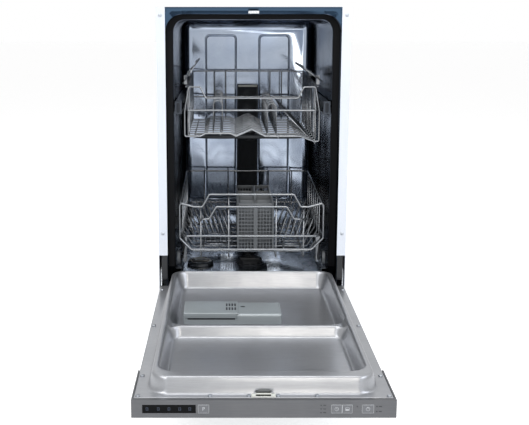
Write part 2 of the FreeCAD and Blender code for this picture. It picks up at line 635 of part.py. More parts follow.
def make_sump():
    plate = block("filter_sheet", ("-85", "85"), ("sump_y - 80", "lower_hub_y + 35"),
                  ("tub_floor", "tub_floor + 2"))
    node("filter_plate", cut("filter_plate_piece", plate,
                             rod("filter_hole", "filter_radius + fit_gap", "0", "sump_y",
                                 ("tub_floor - 1", "tub_floor + 3")),
                             rod("plate_riser_hole", "12 + fit_gap", "0", "lower_hub_y",
                                 ("tub_floor - 1", "tub_floor + 3"))))
    bowl = cut("sump_bowl", rod("sump_outer", "filter_radius + 14", "0", "sump_y",
                                ("tub_floor - 52", "tub_floor - tub_gauge")),
               rod("sump_inner", "filter_radius + 10", "0", "sump_y",
                   ("tub_floor - 48", "tub_floor")))
    riser = rod("riser_tube", "12", "0", "lower_hub_y", ("tub_floor - 26", "lower_arm - 0.2"))
    pin = rod("riser_pin", "6", "0", "lower_hub_y",
              ("lower_arm - 1", "lower_arm + arm_thickness + 2"))
    cap = rod("riser_cap", "13", "0", "lower_hub_y",
              ("lower_arm + arm_thickness + 0.2", "lower_arm + arm_thickness + 5"))
    node("sump", group("sump_group", bowl, fuse("riser", riser, pin, cap)))

    barrel = rod("filter_barrel", "filter_radius", "0", "sump_y",
                 ("tub_floor - 36", "tub_floor + 5"))
    rim = rod("filter_rim", "filter_radius + 3", "0", "sump_y",
              ("tub_floor + 2 + fit_gap", "tub_floor + 5"))
    inside = rod("filter_inside", "filter_radius - 2.5", "0", "sump_y",
                 ("tub_floor - 33", "tub_floor + 6"))
    grip = block("filter_grip", ("1 - filter_radius", "filter_radius - 1"), ("sump_y - 4", "sump_y + 4"),
                 ("tub_floor - 10", "tub_floor + 16"))
    node("filter_cylinder", fuse("filter_piece", cut("filter_cup", fuse("filter_outer", barrel,
                                                                        rim), inside), grip))

    tank = block("softener_tank", ("-tub_half + 4", "-filter_radius - 30"),
                 ("salt_y - 75", "salt_y + 105"), ("foot_height + 18", "tub_floor - 7"))
    neck = cut("softener_neck", rod("neck_outer", "neck_radius", "-salt_x", "salt_y",
                                    ("tub_floor - 8", "tub_floor + 9")),
               rod("neck_inner", "neck_radius - 3", "-salt_x", "salt_y",
                   ("tub_floor - 6", "tub_floor + 10")))
    leg = block("softener_leg", ("-tub_half + 4", "-tub_half + 30"), ("salt_y - 20", "salt_y + 20"),
                ("foot_height + tray_wall", "foot_height + 19"))
    node("water_softener", fuse("softener_piece", tank, neck, leg))
    cap = new_body("salt_cap_body")
    face = new_sketch(cap, "salt_cap_face")
    sketch_circle(face, "salt_radius")
    pad(cap, face, "12")
    round_edges(cap, "2.5", lambda item: item.Closed and item.BoundBox.ZMin > 11)
    hollow = new_sketch(cap, "salt_cap_hollow")
    sketch_circle(hollow, "neck_radius + fit_gap")
    pocket = cap.newObject("PartDesign::Pocket", "salt_cap_pocket")
    pocket.Profile = hollow
    pocket.Length = 9
    pocket.Reversed = True
    doc.recompute()
    node("salt_cap", place(cap, "-salt_x", "salt_y", "tub_floor + 0.5"))

    pump = rod("pump_barrel", "36", ("-60", "60"), "sump_y + 200", "78")
    foot = block("pump_foot", ("-20", "20"), ("sump_y + 185", "sump_y + 215"),
                 ("foot_height + tray_wall", "60"))
    pipe = rod("pump_pipe", "11", "0", ("sump_y + filter_radius + 14.3", "sump_y + 200"),
               "tub_floor - 40")
    node("circulation_pump", fuse("pump_piece", pump, foot, pipe))
    drain = rod("drain_motor", "22", "150", ("tray_back - 190", "tray_back - 70"),
                "service_height")
    spigot = rod("drain_spigot", "drain_radius", "150", ("tray_back + 2", "shell_back"),
                 "service_height")
    neck = rod("drain_neck", "drain_radius - 1", "150", ("tray_back - 71", "tray_back + 3"),
               "service_height")
    drain_foot = block("drain_foot", ("135", "165"), ("tray_back - 150", "tray_back - 110"),
                       ("foot_height + tray_wall", "service_height - 10"))
    node("drain_pump", fuse("drain_piece", drain, neck, spigot, drain_foot))
    valve = block("valve_block", ("-175", "-125"), ("tray_back - 50", "tray_back - tray_wall"),
                  ("service_height - 22", "service_height + 22"))
    thread = rod("valve_thread", "inlet_radius", "-150", ("tray_back + 2", "shell_back"),
                 "service_height")
    shank = rod("valve_shank", "inlet_radius - 1.2", "-150", ("tray_back - 5", "tray_back + 3"),
                "service_height")
    node("inlet_valve", fuse("valve_piece", valve, shank, thread))
    node("air_break_tank", block("tank_block", ("-side_in", "-tub_half - 9"), ("200", "460"),
                                 ("250", "650")))

    duct = block("duct_block", ("-duct_half", "duct_half"), ("duct_front", "tub_back"),
                 ("tub_floor", "duct_top"))
    rings = [rod(f"dock_{i}", "20", "0", ("duct_front - 4", "duct_front + 1"), z)
             for i, z in enumerate(("feed_height", "duct_top - 28"))]
    node("spray_duct", fuse("duct_piece", duct, *rings))


def make_hinges():
    reach = block("bracket_reach", ("half_body - 12", "half_body - 9"),
                  ("hinge_y - 10", "toe_y + 32"), ("hinge_z - 11", "hinge_z + 11"))
    post = block("bracket_post", ("half_body - 12", "half_body - 9"), ("toe_y + 12", "toe_y + 32"),
                 ("tray_top", "hinge_z"))
    foot = block("bracket_foot", ("half_body - 12", "side_in"), ("toe_y + 12", "toe_y + 32"),
                 ("tray_top", "tray_top + 2"))
    pin = rod("bracket_pin", "hinge_pin", ("half_body - 10", "half_body - 2"), "hinge_y",
              "hinge_z")
    node("hinge_brackets", pair("bracket_pair", fuse("bracket", reach, post, foot, pin)))

    swing = size("door_gap + hinge_y") - 0.5
    y, z = size("hinge_y"), size("hinge_z")
    covers = []
    for side in (-1, 1):
        edges = sorted((side * size("mouth_half + tub_gauge"), side * size("half_body - 6.5")))
        plate = Part.makeBox(edges[1] - edges[0], 3, size("flange_bottom") - z,
                             Vector(edges[0], 0, z))
        nose = Part.makeBox(edges[1] - edges[0], 3, swing, Vector(edges[0], 0, z - swing))
        turn = Part.makeCylinder(swing, edges[1] - edges[0], Vector(edges[0], y, z),
                                 Vector(1, 0, 0))
        covers.append(plate.fuse(nose.common(turn)).removeSplitter())
    node("hinge_covers", shaped("cover_pieces", covers))

    arm_foot = block("arm_foot", ("mouth_half + 3", "door_half - 1"),
                     ("hinge_y - 86", "hinge_y + 10"),
                     ("face_z + liner_gauge", "face_z + liner_gauge + 3"))
    arm = block("arm_plate", ("half_body - 5.5", "half_body - 2.5"),
                ("hinge_y - 15", "hinge_y + 10"), ("face_z + liner_gauge", "hinge_z"))
    eye = rod("arm_eye", "11", ("half_body - 5.5", "half_body - 2.5"), "hinge_y", "hinge_z")
    tail = block("arm_tail", ("half_body - 5.5", "half_body - 2.5"), ("hinge_y", "hinge_y + 50"),
                 ("hinge_z - 25", "hinge_z - 12"))
    hook = rod("arm_hook", "2.5", ("half_body - 19", "half_body - 5"), "hinge_y + 44.5",
               "hinge_z - 19.5")
    bore = rod("arm_bore", "hinge_pin + bearing_gap", ("half_body - 7", "half_body - 1"),
               "hinge_y", "hinge_z")
    node("hinge_arms", pair("arm_pair", cut("arm_piece", fuse("arm_solid", arm_foot, arm, eye,
                                                               tail, hook), bore)))
    spring = cut("spring_tube", rod("spring_outer", "5", "half_body - 15", "hinge_y + 44.5",
                                    ("tray_top", "hinge_z - 22.3")),
                 rod("spring_inner", "3.4", "half_body - 15", "hinge_y + 44.5",
                     ("tray_top - 1", "hinge_z - 21")))
    node("door_springs", pair("spring_pair", spring))


# ---------------------------------------------------------------------------------------------
# door
# ---------------------------------------------------------------------------------------------
def screw_places():
    """Door screw centres: four down each side and four along the top edge."""
    side = size("door_half") - 7
    tip = size("tip_y")
    reach = [size("strip_back") + 8 if y == SCREW_LINES[-1] else y * tip / -610
             for y in SCREW_LINES]
    return [(x, y) for y in reach for x in (-side, side)] + [
        (x, reach[-1]) for x in (-91, -25, 25, 91)]


def make_liner():
    gauge, flange, top = size("liner_gauge"), size("flange_z"), size("plug_top")
    mouth, tip = size("mouth_half"), size("tip_y")
    front, back = size("strip_back") + 0.5, size("hinge_y") + 5.5
    base, crown = mouth - size("plug_margin"), mouth - size("plug_margin + plug_draft")
    ridge, rim = size("ridge_y"), crown - size("rim_width")
    far, bend = back - 0.5, size("mouth_radius - plug_margin - rim_width")

    def plug(inset, low, high):
        return tapered((-base + inset, base - inset), (tip + 23 + inset, far - inset), low,
                       (-crown + inset, crown - inset), (tip + 31 + inset, far - 2 - inset), high,
                       size("mouth_radius - plug_margin"))

    def recesses(grow):
        deep = tapered((-rim + 14 - grow, rim - 14 + grow), (ridge + 12 - grow, 10 + grow),
                       size("recess_floor") - grow, (-rim - grow, rim + grow),
                       (ridge - grow, 20 + grow), top + 1, bend)
        shallow = tapered((-rim + 20 - grow, rim - 20 + grow), (tip + 66 - grow, ridge - 16 + grow),
                          top - size("shallow_depth") - grow, (-rim + 6 - grow, rim - 6 + grow),
                          (tip + 55 - grow, ridge - 2 + grow), top + 1, bend)
        saddle = Part.makeBox(2 * (rim - 6 + grow), 24 + 2 * grow,
                              size("ridge_drop") + 1 + grow,
                              Vector(-rim + 6 - grow, ridge - 14 - grow,
                                     top - size("ridge_drop") - grow))
        return deep.fuse([shallow, saddle])

    wide, narrow = size("door_half") - 1, mouth - 1
    shelf = Part.makeBox(2 * wide, -6 - front, gauge, Vector(-wide, front, flange - gauge))
    tail = Part.makeBox(2 * narrow, back + 6, gauge, Vector(-narrow, -6, flange - gauge))
    skin = recesses(gauge).common(Part.makeBox(2 * wide, 2000, 2 * size("recess_depth"),
                                               Vector(-wide, -1500, top - 80)))
    solid = shelf.fuse([tail, plug(0, flange - gauge, top), skin])
    hollow = plug(gauge, flange - gauge - 0.01, top - gauge).cut(skin)
    solid = solid.cut(hollow).cut(recesses(0))
    holes = [Part.makeCylinder(size("screw_radius") + 0.2, 4, Vector(x, y, flange - 2))
             for x, y in screw_places()]
    slot = Part.makeBox(28, 14.5, 4, Vector(-14, front + 1, flange - 2))
    node("door_liner", shaped("liner_piece", solid.cut(holes + [slot]).removeSplitter()))
    screws = []
    for x, y in screw_places():
        head = Part.makeCylinder(4, 1.8, Vector(x, y, flange))
        shank = Part.makeCylinder(size("screw_radius"), 10, Vector(x, y, flange - 9))
        screws.append(head.fuse(shank).removeSplitter())
    node("door_screws", shaped("screw_pieces", screws))


def make_door():
    sheet_z = ("face_z", "face_z + liner_gauge")
    face = block("face_sheet", ("-door_half", "door_half"), ("strip_back + 0.5", "toe_y"), sheet_z)
    fold = block("face_fold", ("door_half - liner_gauge", "door_half"),
                 ("strip_back + 0.5", "-10"), ("face_z", "flange_z - 1.5"))
    toe = block("toe_fold", ("-door_half", "door_half"), ("toe_y - liner_gauge", "toe_y"),
                ("face_z", "face_z + 5"))
    holes = [rod(f"panel_hole_{i}", "2.5", x, y, ("face_z - 1", "face_z + 2"))
             for i, (x, y) in enumerate((x, y) for x in ("-180", "180")
                                        for y in ("tip_y + 90", "tip_y + 530"))]
    notch = block("face_notch", ("mouth_half - 2", "half_body"), ("hinge_y + 36", "toe_y + 1"),
                  ("face_z - 1", "face_z + 6"))
    node("door_outer_panel", cut("face_piece", fuse("face_solid", face, fold, mirrored(fold),
                                                    toe), notch, mirrored(notch), *holes))
    node("door_insulation", block("felt_block", ("-165", "165"), ("tip_y + 70", "10"),
                                  ("face_z + liner_gauge", "recess_floor - liner_gauge")))

    strip = block("strip_block", ("-half_body", "half_body"), ("tip_y", "strip_back"),
                  ("face_z", "flange_z"))
    cheek = block("cheek_block", ("door_half + fit_gap", "half_body"),
                  ("strip_back - 1", "tip_y + cheek_length"), ("face_z", "flange_z"))
    half_button = "button_height / 2"
    buttons = {"programme_button": ("-101.75", "button_width"),
               "delay_button": ("122.75", "button_width"),
               "half_load_button": ("140.85", "button_width - 1.5"),
               "start_button": ("175.5", "start_width")}
    pockets = [block(name + "_pocket",
                     (f"{x} - {width} / 2 - fit_gap", f"{x} + ({width}) / 2 + fit_gap"),
                     ("tip_y - 1", "strip_back + 1"),
                     (f"button_z - {half_button} - fit_gap", f"button_z + {half_button} + fit_gap"))
               for name, (x, width) in buttons.items()]
    pockets.append(block("display_pocket", ("-205 - fit_gap", "-205 + display_width + fit_gap"),
                         ("tip_y - 1", "tip_y + 2"),
                         ("button_z - display_height / 2 - fit_gap",
                          "button_z + display_height / 2 + fit_gap")))
    node("control_panel", cut("console", fuse("console_solid", strip, cheek, mirrored(cheek)),
                              *pockets))
    node("display_window", block("window_block", ("-205", "-205 + display_width"),
                                 ("tip_y", "tip_y + 2"),
                                 ("button_z - display_height / 2",
                                  "button_z + display_height / 2")))
    for name, (x, width) in buttons.items():
        body = new_body(name + "_body")
        outline = new_sketch(body, name + "_outline")
        sketch_rectangle(outline, width, "button_height")
        pad(body, outline, "console_depth + 1.4")
        round_edges(body, "1.5", upright)
        round_edges(body, "0.4", lambda item: item.BoundBox.ZMin > size("console_depth") + 1.3)
        place(body, x, "strip_back + 1", "button_z")
        body.Placement.Rotation = Rotation(Vector(1, 0, 0), 90)
        node(name, body)
    board = block("board_block", ("-210", "210"), ("strip_back + 3", "tip_y + 50"),
                  ("face_z + 3", "face_z + 4.6"))
    posts = [rod(f"board_post_{side}", "3", f"{side} * 190", "tip_y + 30",
                 ("face_z + liner_gauge", "face_z + 3.2")) for side in (-1, 1)]
    node("control_board", fuse("board_piece", board, *posts))

    outer = block("latch_block", ("-30", "30"), ("strip_back + 0.5", "tip_y + 46"),
                  ("face_z + 6", "flange_z - liner_gauge"))
    cavity = block("latch_cavity", ("-14", "14"), ("strip_back + 1.5", "tip_y + 40"),
                   ("face_z + 11", "flange_z"))
    pivot = rod("latch_pivot", "2.5", ("-14.5", "14.5"), "tip_y + 31", "flange_z - 11")
    bores = [rod(f"latch_bore_{side}", "screw_radius + 0.2", f"{side} * 25", "strip_back + 8",
                 ("flange_z - 12", "flange_z")) for side in (-1, 1)]
    node("door_latch", fuse("latch_housing", cut("latch_box", outer, cavity, *bores), pivot))
    claw = block("claw_block", ("-5", "5"), ("tip_y + 24", "tip_y + 36"),
                 ("flange_z - 14", "flange_z - 8"))
    node("latch_claw", cut("claw_piece", claw,
                           rod("claw_bore", "2.5 + bearing_gap", ("-6", "6"), "tip_y + 31",
                               "flange_z - 11")))


def make_dispenser():
    body = block("dispenser_block", ("dispenser_left", "dispenser_right"),
                 ("dispenser_front", "dispenser_y"), ("recess_floor", "dispenser_top"))
    soft = doc.addObject("Part::Fillet", "dispenser_soft")
    soft.Base = body
    doc.recompute()
    upright_edges = [i for i, edge in enumerate(body.Shape.Edges, start=1) if upright(edge)]
    soft.Edges = [(i, 6, 6) for i in upright_edges]
    chamber = block("soap_chamber", ("dispenser_left + 12", "dispenser_left + lid_length - 8"),
                    ("dispenser_front + 9", "dispenser_y - 9"),
                    ("dispenser_top - 26", "dispenser_top + 1"))
    well = rod("rinse_well", "rinse_radius + fit_gap", "dispenser_right - 28",
               "dispenser_front + 36", ("dispenser_top - 12", "dispenser_top + 1"))
    node("dispenser_housing", cut("dispenser_piece", soft, chamber, well))
    plate = block("lid_plate", ("dispenser_left + 1", "dispenser_left + 1 + lid_length"),
                  ("dispenser_front - 3", "dispenser_y - 4"),
                  ("dispenser_top + fit_gap", "dispenser_top + fit_gap + 3"))
    lip = block("lid_lip", ("dispenser_left + 1", "dispenser_left + 1 + lid_length"),
                ("dispenser_front - 3", "dispenser_front - fit_gap"),
                ("dispenser_top - 8", "dispenser_top + fit_gap + 3"))
    slots = [block(f"lid_slot_{i}_{j}", (f"dispenser_left + {75 + 9 * i}",
                                         f"dispenser_left + {79 + 9 * i}"),
                   (f"dispenser_front + {10 + 22 * j}", f"dispenser_front + {19 + 22 * j}"),
                   ("dispenser_top + 2", "dispenser_top + 4")) for i in range(3) for j in range(2)]
    node("detergent_lid", cut("lid_piece", fuse("lid_solid", plate, lip), *slots))
    cap = disc_body("rinse_cap_body", "rinse_radius", "11.5")
    node("rinse_aid_cap", place(cap, "dispenser_right - 28", "dispenser_front + 36",
                                "dispenser_top - 11.8"))


# ---------------------------------------------------------------------------------------------
# racks
# ---------------------------------------------------------------------------------------------
def wheel_pair(name, radius, width, outer, y, z, pin):
    """Two wheels on one axle line, bored for their pins."""
    wheel = disc_body(name + "_wheel", radius, width, f"{pin} + bearing_gap", "1.5")
    place(wheel, f"{outer} - ({width})", y, z, "X")
    node(name, pair(name + "_pair", wheel))


def make_lower_rack():
    heavy, light, tine = size("heavy_wire"), size("light_wire"), size("tine_wire")
    gap, half = size("weld_gap"), size("lower_half")
    front, back = size("rack_front"), size("rack_back")
    floor, ring, rail = size("lower_floor"), size("lower_ring"), size("lower_rail")
    crest = size("lower_crest")
    inner = heavy + light + gap

    loop = [(-half, rail), (-half + 36, rail - 10), (-half + 56, rail - 10),
            (-half + 73, crest), (half - 73, crest), (half - 56, rail - 10),
            (half - 36, rail - 10), (half, rail), (half, ring - 5), (half - 28, floor + 22),
            (-half + 28, floor + 22), (-half, ring - 5)]
    dip = [(-half + 48, ring + 43), (-half + 72, ring + 43), (-half + 90, rail - 10),
           (half - 90, rail - 10), (half - 72, ring + 43), (half - 48, ring + 43)]
    belt = [(-half, front), (half, front), (half, back), (-half, back)]
    behind = front + 2 * heavy + gap
    hoop = [(-half, behind, rail - 12), (-half, back, rail + 9), (half, back, rail + 9),
            (half, behind, rail - 12)]
    frame = [wire([(x, front, z) for x, z in loop], heavy, 6, closed=True),
             wire([(x, front, z) for x, z in dip], heavy, 6),
             wire([(x, y, ring) for x, y in belt], heavy, 25, closed=True),
             wire(hoop, heavy, 18)]
    for line in (size("wheel_front"), size("wheel_back")):
        for side in (-1, 1):
            edges = sorted((side * (half - 17), side * (half - 7)))
            carrier = Part.makeBox(10, 32, ring - heavy - gap - floor + 11,
                                   Vector(edges[0], line - 16, floor - 11))
            pin_end = side * (size("wheel_outer") - 1)
            pin = straight((side * (half - 8), line, size("wheel_z")),
                           (pin_end, line, size("wheel_z")), 3)
            frame.append(carrier.fuse(pin).removeSplitter())
    node("lower_rack_frame", shaped("lower_frame_pieces", frame))

    floor_wires = []
    posts = {-half + 52: rail - 8, -half + 121: crest + 2, half - 116: crest + 2,
             half - 48: rail - 8}
    for x, top in posts.items():
        run = [(x, front + inner, top), (x, front + inner, floor), (x, back - inner, floor),
               (x, back - inner, rail + 11)]
        floor_wires.append(wire(run, light, 8))
    cross = floor + 2 * light + gap
    side = half - inner
    for y in steps(front + 52, back - 52, 7):
        lean = rail - 12 + (y - behind) * 21 / (back - behind)
        run = [(-side, y, lean), (-side, y, ring - 12), (-side + 26, y, cross),
               (side - 26, y, cross), (side, y, ring - 12), (side, y, lean)]
        floor_wires.append(wire(run, light, 8))
    root = cross + 2 * light + gap
    for x in (-half + 57, -half + 97, half - 92, half - 47):
        floor_wires.append(straight((x, front + 46, root), (x, back - 46, root), light))
    comb = root + 2 * light + gap
    right = size("basket_left + basket_width") + 12
    for outer, inner_end, count in ((-half + 40, size("basket_left") - 12, 8),
                                    (half - 37, right, 6)):
        lean = math.copysign(24, outer)
        reach = math.copysign(6, outer)
        for y in steps(front + 92, back - 92, 3):
            floor_wires.append(straight((outer + reach, y, comb), (inner_end - reach, y, comb),
                                        light))
            for x in steps(outer, inner_end, count):
                floor_wires.append(straight((x, y, comb + light + 2 * gap + tine / 2),
                                            (x + lean, y, root + size("tine_height")), tine))
    node("lower_rack_floor", shaped("lower_floor_pieces", floor_wires))
    for name, line in (("lower_wheels_front", "wheel_front"), ("lower_wheels_rear", "wheel_back")):
        wheel_pair(name, "wheel_radius", "wheel_width", "wheel_outer", line, "wheel_z", "3")


def make_basket():
    walls = (("basket_left", "basket_left + basket_width"),
             ("basket_front", "basket_front + basket_length"))
    outer = block("basket_block", *walls, ("basket_bottom", "basket_top"))
    wells = []
    for i in range(2):
        for j in range(4):
            cell_x = f"(basket_width - 3 * basket_wall) / 2 + basket_wall"
            cell_y = f"(basket_length - 5 * basket_wall) / 4 + basket_wall"
            wells.append(block(f"basket_cell_{i}_{j}",
                               (f"basket_left + basket_wall + {i} * ({cell_x})",
                                f"basket_left + ({i} + 1) * ({cell_x})"),
                               (f"basket_front + basket_wall + {j} * ({cell_y})",
                                f"basket_front + ({j} + 1) * ({cell_y})"),
                               ("basket_bottom + basket_wall", "basket_top + 1")))
    grip = block("basket_grip", ("basket_mid - 3", "basket_mid + 3"),
                 ("basket_front + 50", "basket_front + basket_length - 50"),
                 ("basket_top - 6", "basket_top + 14"))
    hand = block("basket_hand", ("basket_mid - 4", "basket_mid + 4"),
                 ("basket_front + 62", "basket_front + basket_length - 62"),
                 ("basket_top - 20", "basket_top + 6"))
    node("cutlery_basket", fuse("basket_piece", cut("basket_shell", outer, *wells),
                                cut("basket_handle", grip, hand)))


def cup_wire(y, half, top):
    """One cross wire of the upper rack: a cup floor, a hump over the feed pipe, a deep trough."""
    floor = size("upper_floor")
    points = [(-half, top), (-half, floor), (-half + 38, floor), (-half + 50, floor + 7),
              (-52, floor + 7), (-38, floor), (0, floor + 17), (32, floor), (half - 46, floor),
              (half - 12, floor - 12), (half, floor - 12), (half, top)]
    return [(x, y, z) for x, z in points]


def shelf_axis(side, tilt):
    """A cup shelf's inward direction and the line of the rod that it turns on."""
    turn = math.radians(tilt)
    ahead = Vector(-side * math.cos(turn), 0, math.sin(turn))
    above = Vector(side * ahead.z, 0, math.cos(turn)) * (2 * size("tine_wire") + size("weld_gap"))
    knee = Vector(side * (size("upper_half") - 0.5), 0, size("upper_rail + upper_rise") + 4)
    return ahead, knee + above


def make_upper_rack():
    heavy, light, loop, tine = (size(name) for name in
                                ("heavy_wire", "light_wire", "loop_wire", "tine_wire"))
    gap, half = size("weld_gap"), size("upper_half")
    front, back, floor = size("upper_front"), size("upper_back"), size("upper_floor")
    ring, rail, rise = size("upper_ring"), size("upper_rail"), size("upper_rise")

    face = cup_wire(front, half + 3, rail)[1:-1] + [
        (half + 3, front, ring), (half - 7, front, rail), (half - 35, front, rail),
        (half - 49, front, rail - 27), (-half + 49, front, rail - 27), (-half + 35, front, rail),
        (-half + 7, front, rail), (-half - 3, front, ring)]
    inside = front + loop + heavy + gap
    belt = [(-half, inside, ring), (half, inside, ring), (half, back, ring), (-half, back, ring)]
    start = front + 2 * loop + gap
    beside, behind = half + loop - heavy, back + loop - heavy
    hoop = [(-beside, start, rail), (-beside, behind, rail + rise), (beside, behind, rail + rise),
            (beside, start, rail)]
    frame = [wire(face, loop, 4.5, closed=True), wire(belt, heavy, 8, closed=True),
             wire(hoop, loop, 14)]
    for line in (size("roller_front"), size("roller_back")):
        for side in (-1, 1):
            edges = sorted((side * (half + heavy + gap), side * (half + 6)))
            carrier = Part.makeBox(edges[1] - edges[0], 36, 44,
                                   Vector(edges[0], line - 18, size("rail_centre") - 22))
            pin = straight((side * (half + 5), line, size("rail_centre")),
                           (side * (size("web_inner") - 0.4), line, size("rail_centre")), 3)
            frame.append(carrier.fuse(pin).removeSplitter())
    for side, tilt in ((-1, 55), (1, 35)):
        axis = shelf_axis(side, tilt)[1]
        edges = sorted((side * (half - 2), side * (half + 5.5)))
        for y in (front + 39, front + 223):
            low = rail + rise * (y - start) / (back - start) + loop + 0.25
            lug = Part.makeBox(7.5, 8, axis.z + 3.5 - low, Vector(edges[0], y - 4, low))
            bore = Part.makeCylinder(tine + size("bearing_gap"), 10,
                                     Vector(axis.x, y - 5, axis.z), Vector(0, 1, 0))
            frame.append(lug.cut(bore))
    stay = half - heavy - 2 * light - 2 * gap
    for side in (-1, 1):
        edges = sorted((side * stay, side * (stay - 2.5)))
        frame.append(Part.makeBox(2.5, 40, rail - floor - 10, Vector(edges[0], front + 24,
                                                                   floor + 8)))
    node("upper_rack_frame", shaped("upper_frame_pieces", frame))

    side = half - heavy - light - gap
    pieces = []
    for y in steps(front + 20, back - 20, 10):
        top = rail + rise * (y - start) / (back - start) + 3
        pieces.append(wire(cup_wire(y, side, top), light, 4))
        slant = y - light - tine - gap
        pieces.append(straight((74, slant, ring), (half - 13, slant, floor - 12), tine))
    under = loop + light + gap
    for x, z in ((-half + 20, floor), (-76, floor + 7), (64, floor), (half - 7, floor - 12)):
        pieces.append(straight((x, front - 2, z - under), (x, back - 2, z - under), light))
    for x in (-83, 50):
        base = floor + (7 if x < 0 else 0) + 2 * light + gap
        pieces.append(straight((x - 11, front + 12, base), (x - 11, back - 12, base), light))
        pieces.append(straight((x + 11, front + 12, base), (x + 11, back - 12, base), light))
        stand = base + light + gap
        for y in steps(front + 30, back - 40, 7):
            loop_points = [(x - 11, y, stand), (x - 11, y, stand + 72), (x + 11, y, stand + 72),
                           (x + 11, y, stand)]
            pieces.append(wire(loop_points, tine, 10.9))
    rear = back - heavy - light - gap
    for x in (-96, -63, 63, 96):
        pieces.append(straight((x, rear, floor - 1), (x, rear, rail + rise + 2), light))
    node("upper_rack_floor", shaped("upper_floor_pieces", pieces))

    web = block("rail_web", ("web_inner", "web_outer"), ("rail_front", "rail_back"),
                ("rail_centre - rail_height / 2", "rail_centre + rail_height / 2"))
    flanges = [block(f"rail_flange_{name}", ("rail_inner", "rail_outer"),
                     ("rail_front", "rail_back"), (low, low + " + rail_gauge"))
               for name, low in (("low", "rail_centre - rail_height / 2"),
                                 ("high", "rail_centre + rail_height / 2 - rail_gauge"))]
    cap = block("rail_cap", ("rail_inner", "rail_outer"), ("rail_front - 6", "rail_front"),
                ("rail_centre - rail_height / 2 - 2", "rail_centre + rail_height / 2 + 2"))
    node("upper_slide_rails", pair("rail_pair", fuse("rail_piece", web, *flanges, cap)))
    for name, line in (("upper_rollers_front", "roller_front"),
                       ("upper_rollers_rear", "roller_back")):
        wheel_pair(name, "roller_radius", "6", "web_inner - 0.6", line, "rail_centre", "3")
    wheel_pair("wall_rollers", "roller_radius", "6", "rail_outer - 0.4", "wall_roller",
               "rail_centre", "3")

    for name, side, tilt in (("cup_shelf_left", -1, 55), ("cup_shelf_right", 1, 35)):
        ahead, axis = shelf_axis(side, tilt)
        below = Vector(-side * ahead.z, 0, -abs(ahead.x)) * (2 * tine + gap)
        comb = []
        for y in steps(front + 26, front + 236, 9):
            low, high = axis + below - ahead * 17, axis + below + ahead * 46
            comb.append(straight((low.x, y, low.z), (high.x, y, high.z), tine))
        for reach in (0, 22, 44):
            line = axis + ahead * reach
            comb.append(straight((line.x, front + 22, line.z), (line.x, front + 240, line.z),
                                 tine))
        node(name, shaped(name + "_pieces", comb))


def make_spray_arms():
    pipe = block("feed_pipe", ("-14", "14"), ("upper_hub_y - 14", "upper_back + 2"),
                 ("feed_height - 9", "feed_height + 9"))
    bell = rod("feed_bell", "9", "0", ("upper_back", "duct_front - 4 - fit_gap"), "feed_height")
    hub = rod("feed_hub", "14", "0", "upper_hub_y", ("upper_arm_top + 0.2", "feed_height"))
    pin = rod("feed_pin", "5", "0", "upper_hub_y",
              ("upper_arm_top - arm_thickness - 5", "feed_height"))
    nut = rod("feed_nut", "12", "0", "upper_hub_y",
              ("upper_arm_top - arm_thickness - 5", "upper_arm_top - arm_thickness - 0.2"))
    node("upper_spray_feed", fuse("feed_piece", pipe, bell, hub, pin, nut))
    for name, hub_y, low, bore, yaw in (
            ("upper_spray_arm", "upper_hub_y", "upper_arm_top - arm_thickness", "5", 0),
            ("lower_spray_arm", "lower_hub_y", "lower_arm", "6", -25)):
        body = new_body(name + "_body")
        outline = new_sketch(body, name + "_outline")
        sketch_rectangle(outline, "arm_length", "arm_width")
        pad(body, outline, "arm_thickness")
        round_edges(body, "arm_width * 0.45", upright)
        round_edges(body, "arm_thickness * 0.3", lambda item: item.BoundBox.ZMin > 1)
        drill(body, f"{bore} + bearing_gap", name + "_bore")
        place(body, "0", hub_y, low)
        body.Placement.Rotation = Rotation(Vector(0, 0, 1), yaw)
        node(name, body)


def check_and_write():
    """Refuse failed features and bad shapes, then write every sub-part."""
    doc.recompute()
    for item in doc.Objects:
        if "Invalid" in item.State or "Error" in item.State:
            raise RuntimeError(f"{item.Label} failed: {item.State}")
    for label, item in NODES.items():
        shape = item.Shape
        if shape.isNull() or not shape.isValid() or not shape.Solids:
            raise RuntimeError(f"{label} has no sound shape")
    os.makedirs("parts", exist_ok=True)
    for label, item in NODES.items():
        item.Shape.exportStep(os.path.join("parts", label + ".step"))
    print(len(NODES), "sub-parts,", sum(len(item.Shape.Solids) for item in NODES.values()),
          "solids")


make_base()
make_shell()
make_tub()
make_sump()
make_hinges()
make_liner()
make_door()
make_dispenser()
make_lower_rack()
make_basket()
make_upper_rack()
make_spray_arms()
check_and_write()
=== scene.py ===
"""Looks of the slimline built-in dishwasher: finishes, sheets, racks, mouldings and controls.

Sizes are in millimetres in the classes and in metres in the meshes.  Every place is read from the
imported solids, so a piece sits where its solid sits.
"""
from __future__ import annotations

import json
import logging
import math
from dataclasses import dataclass
from enum import Enum

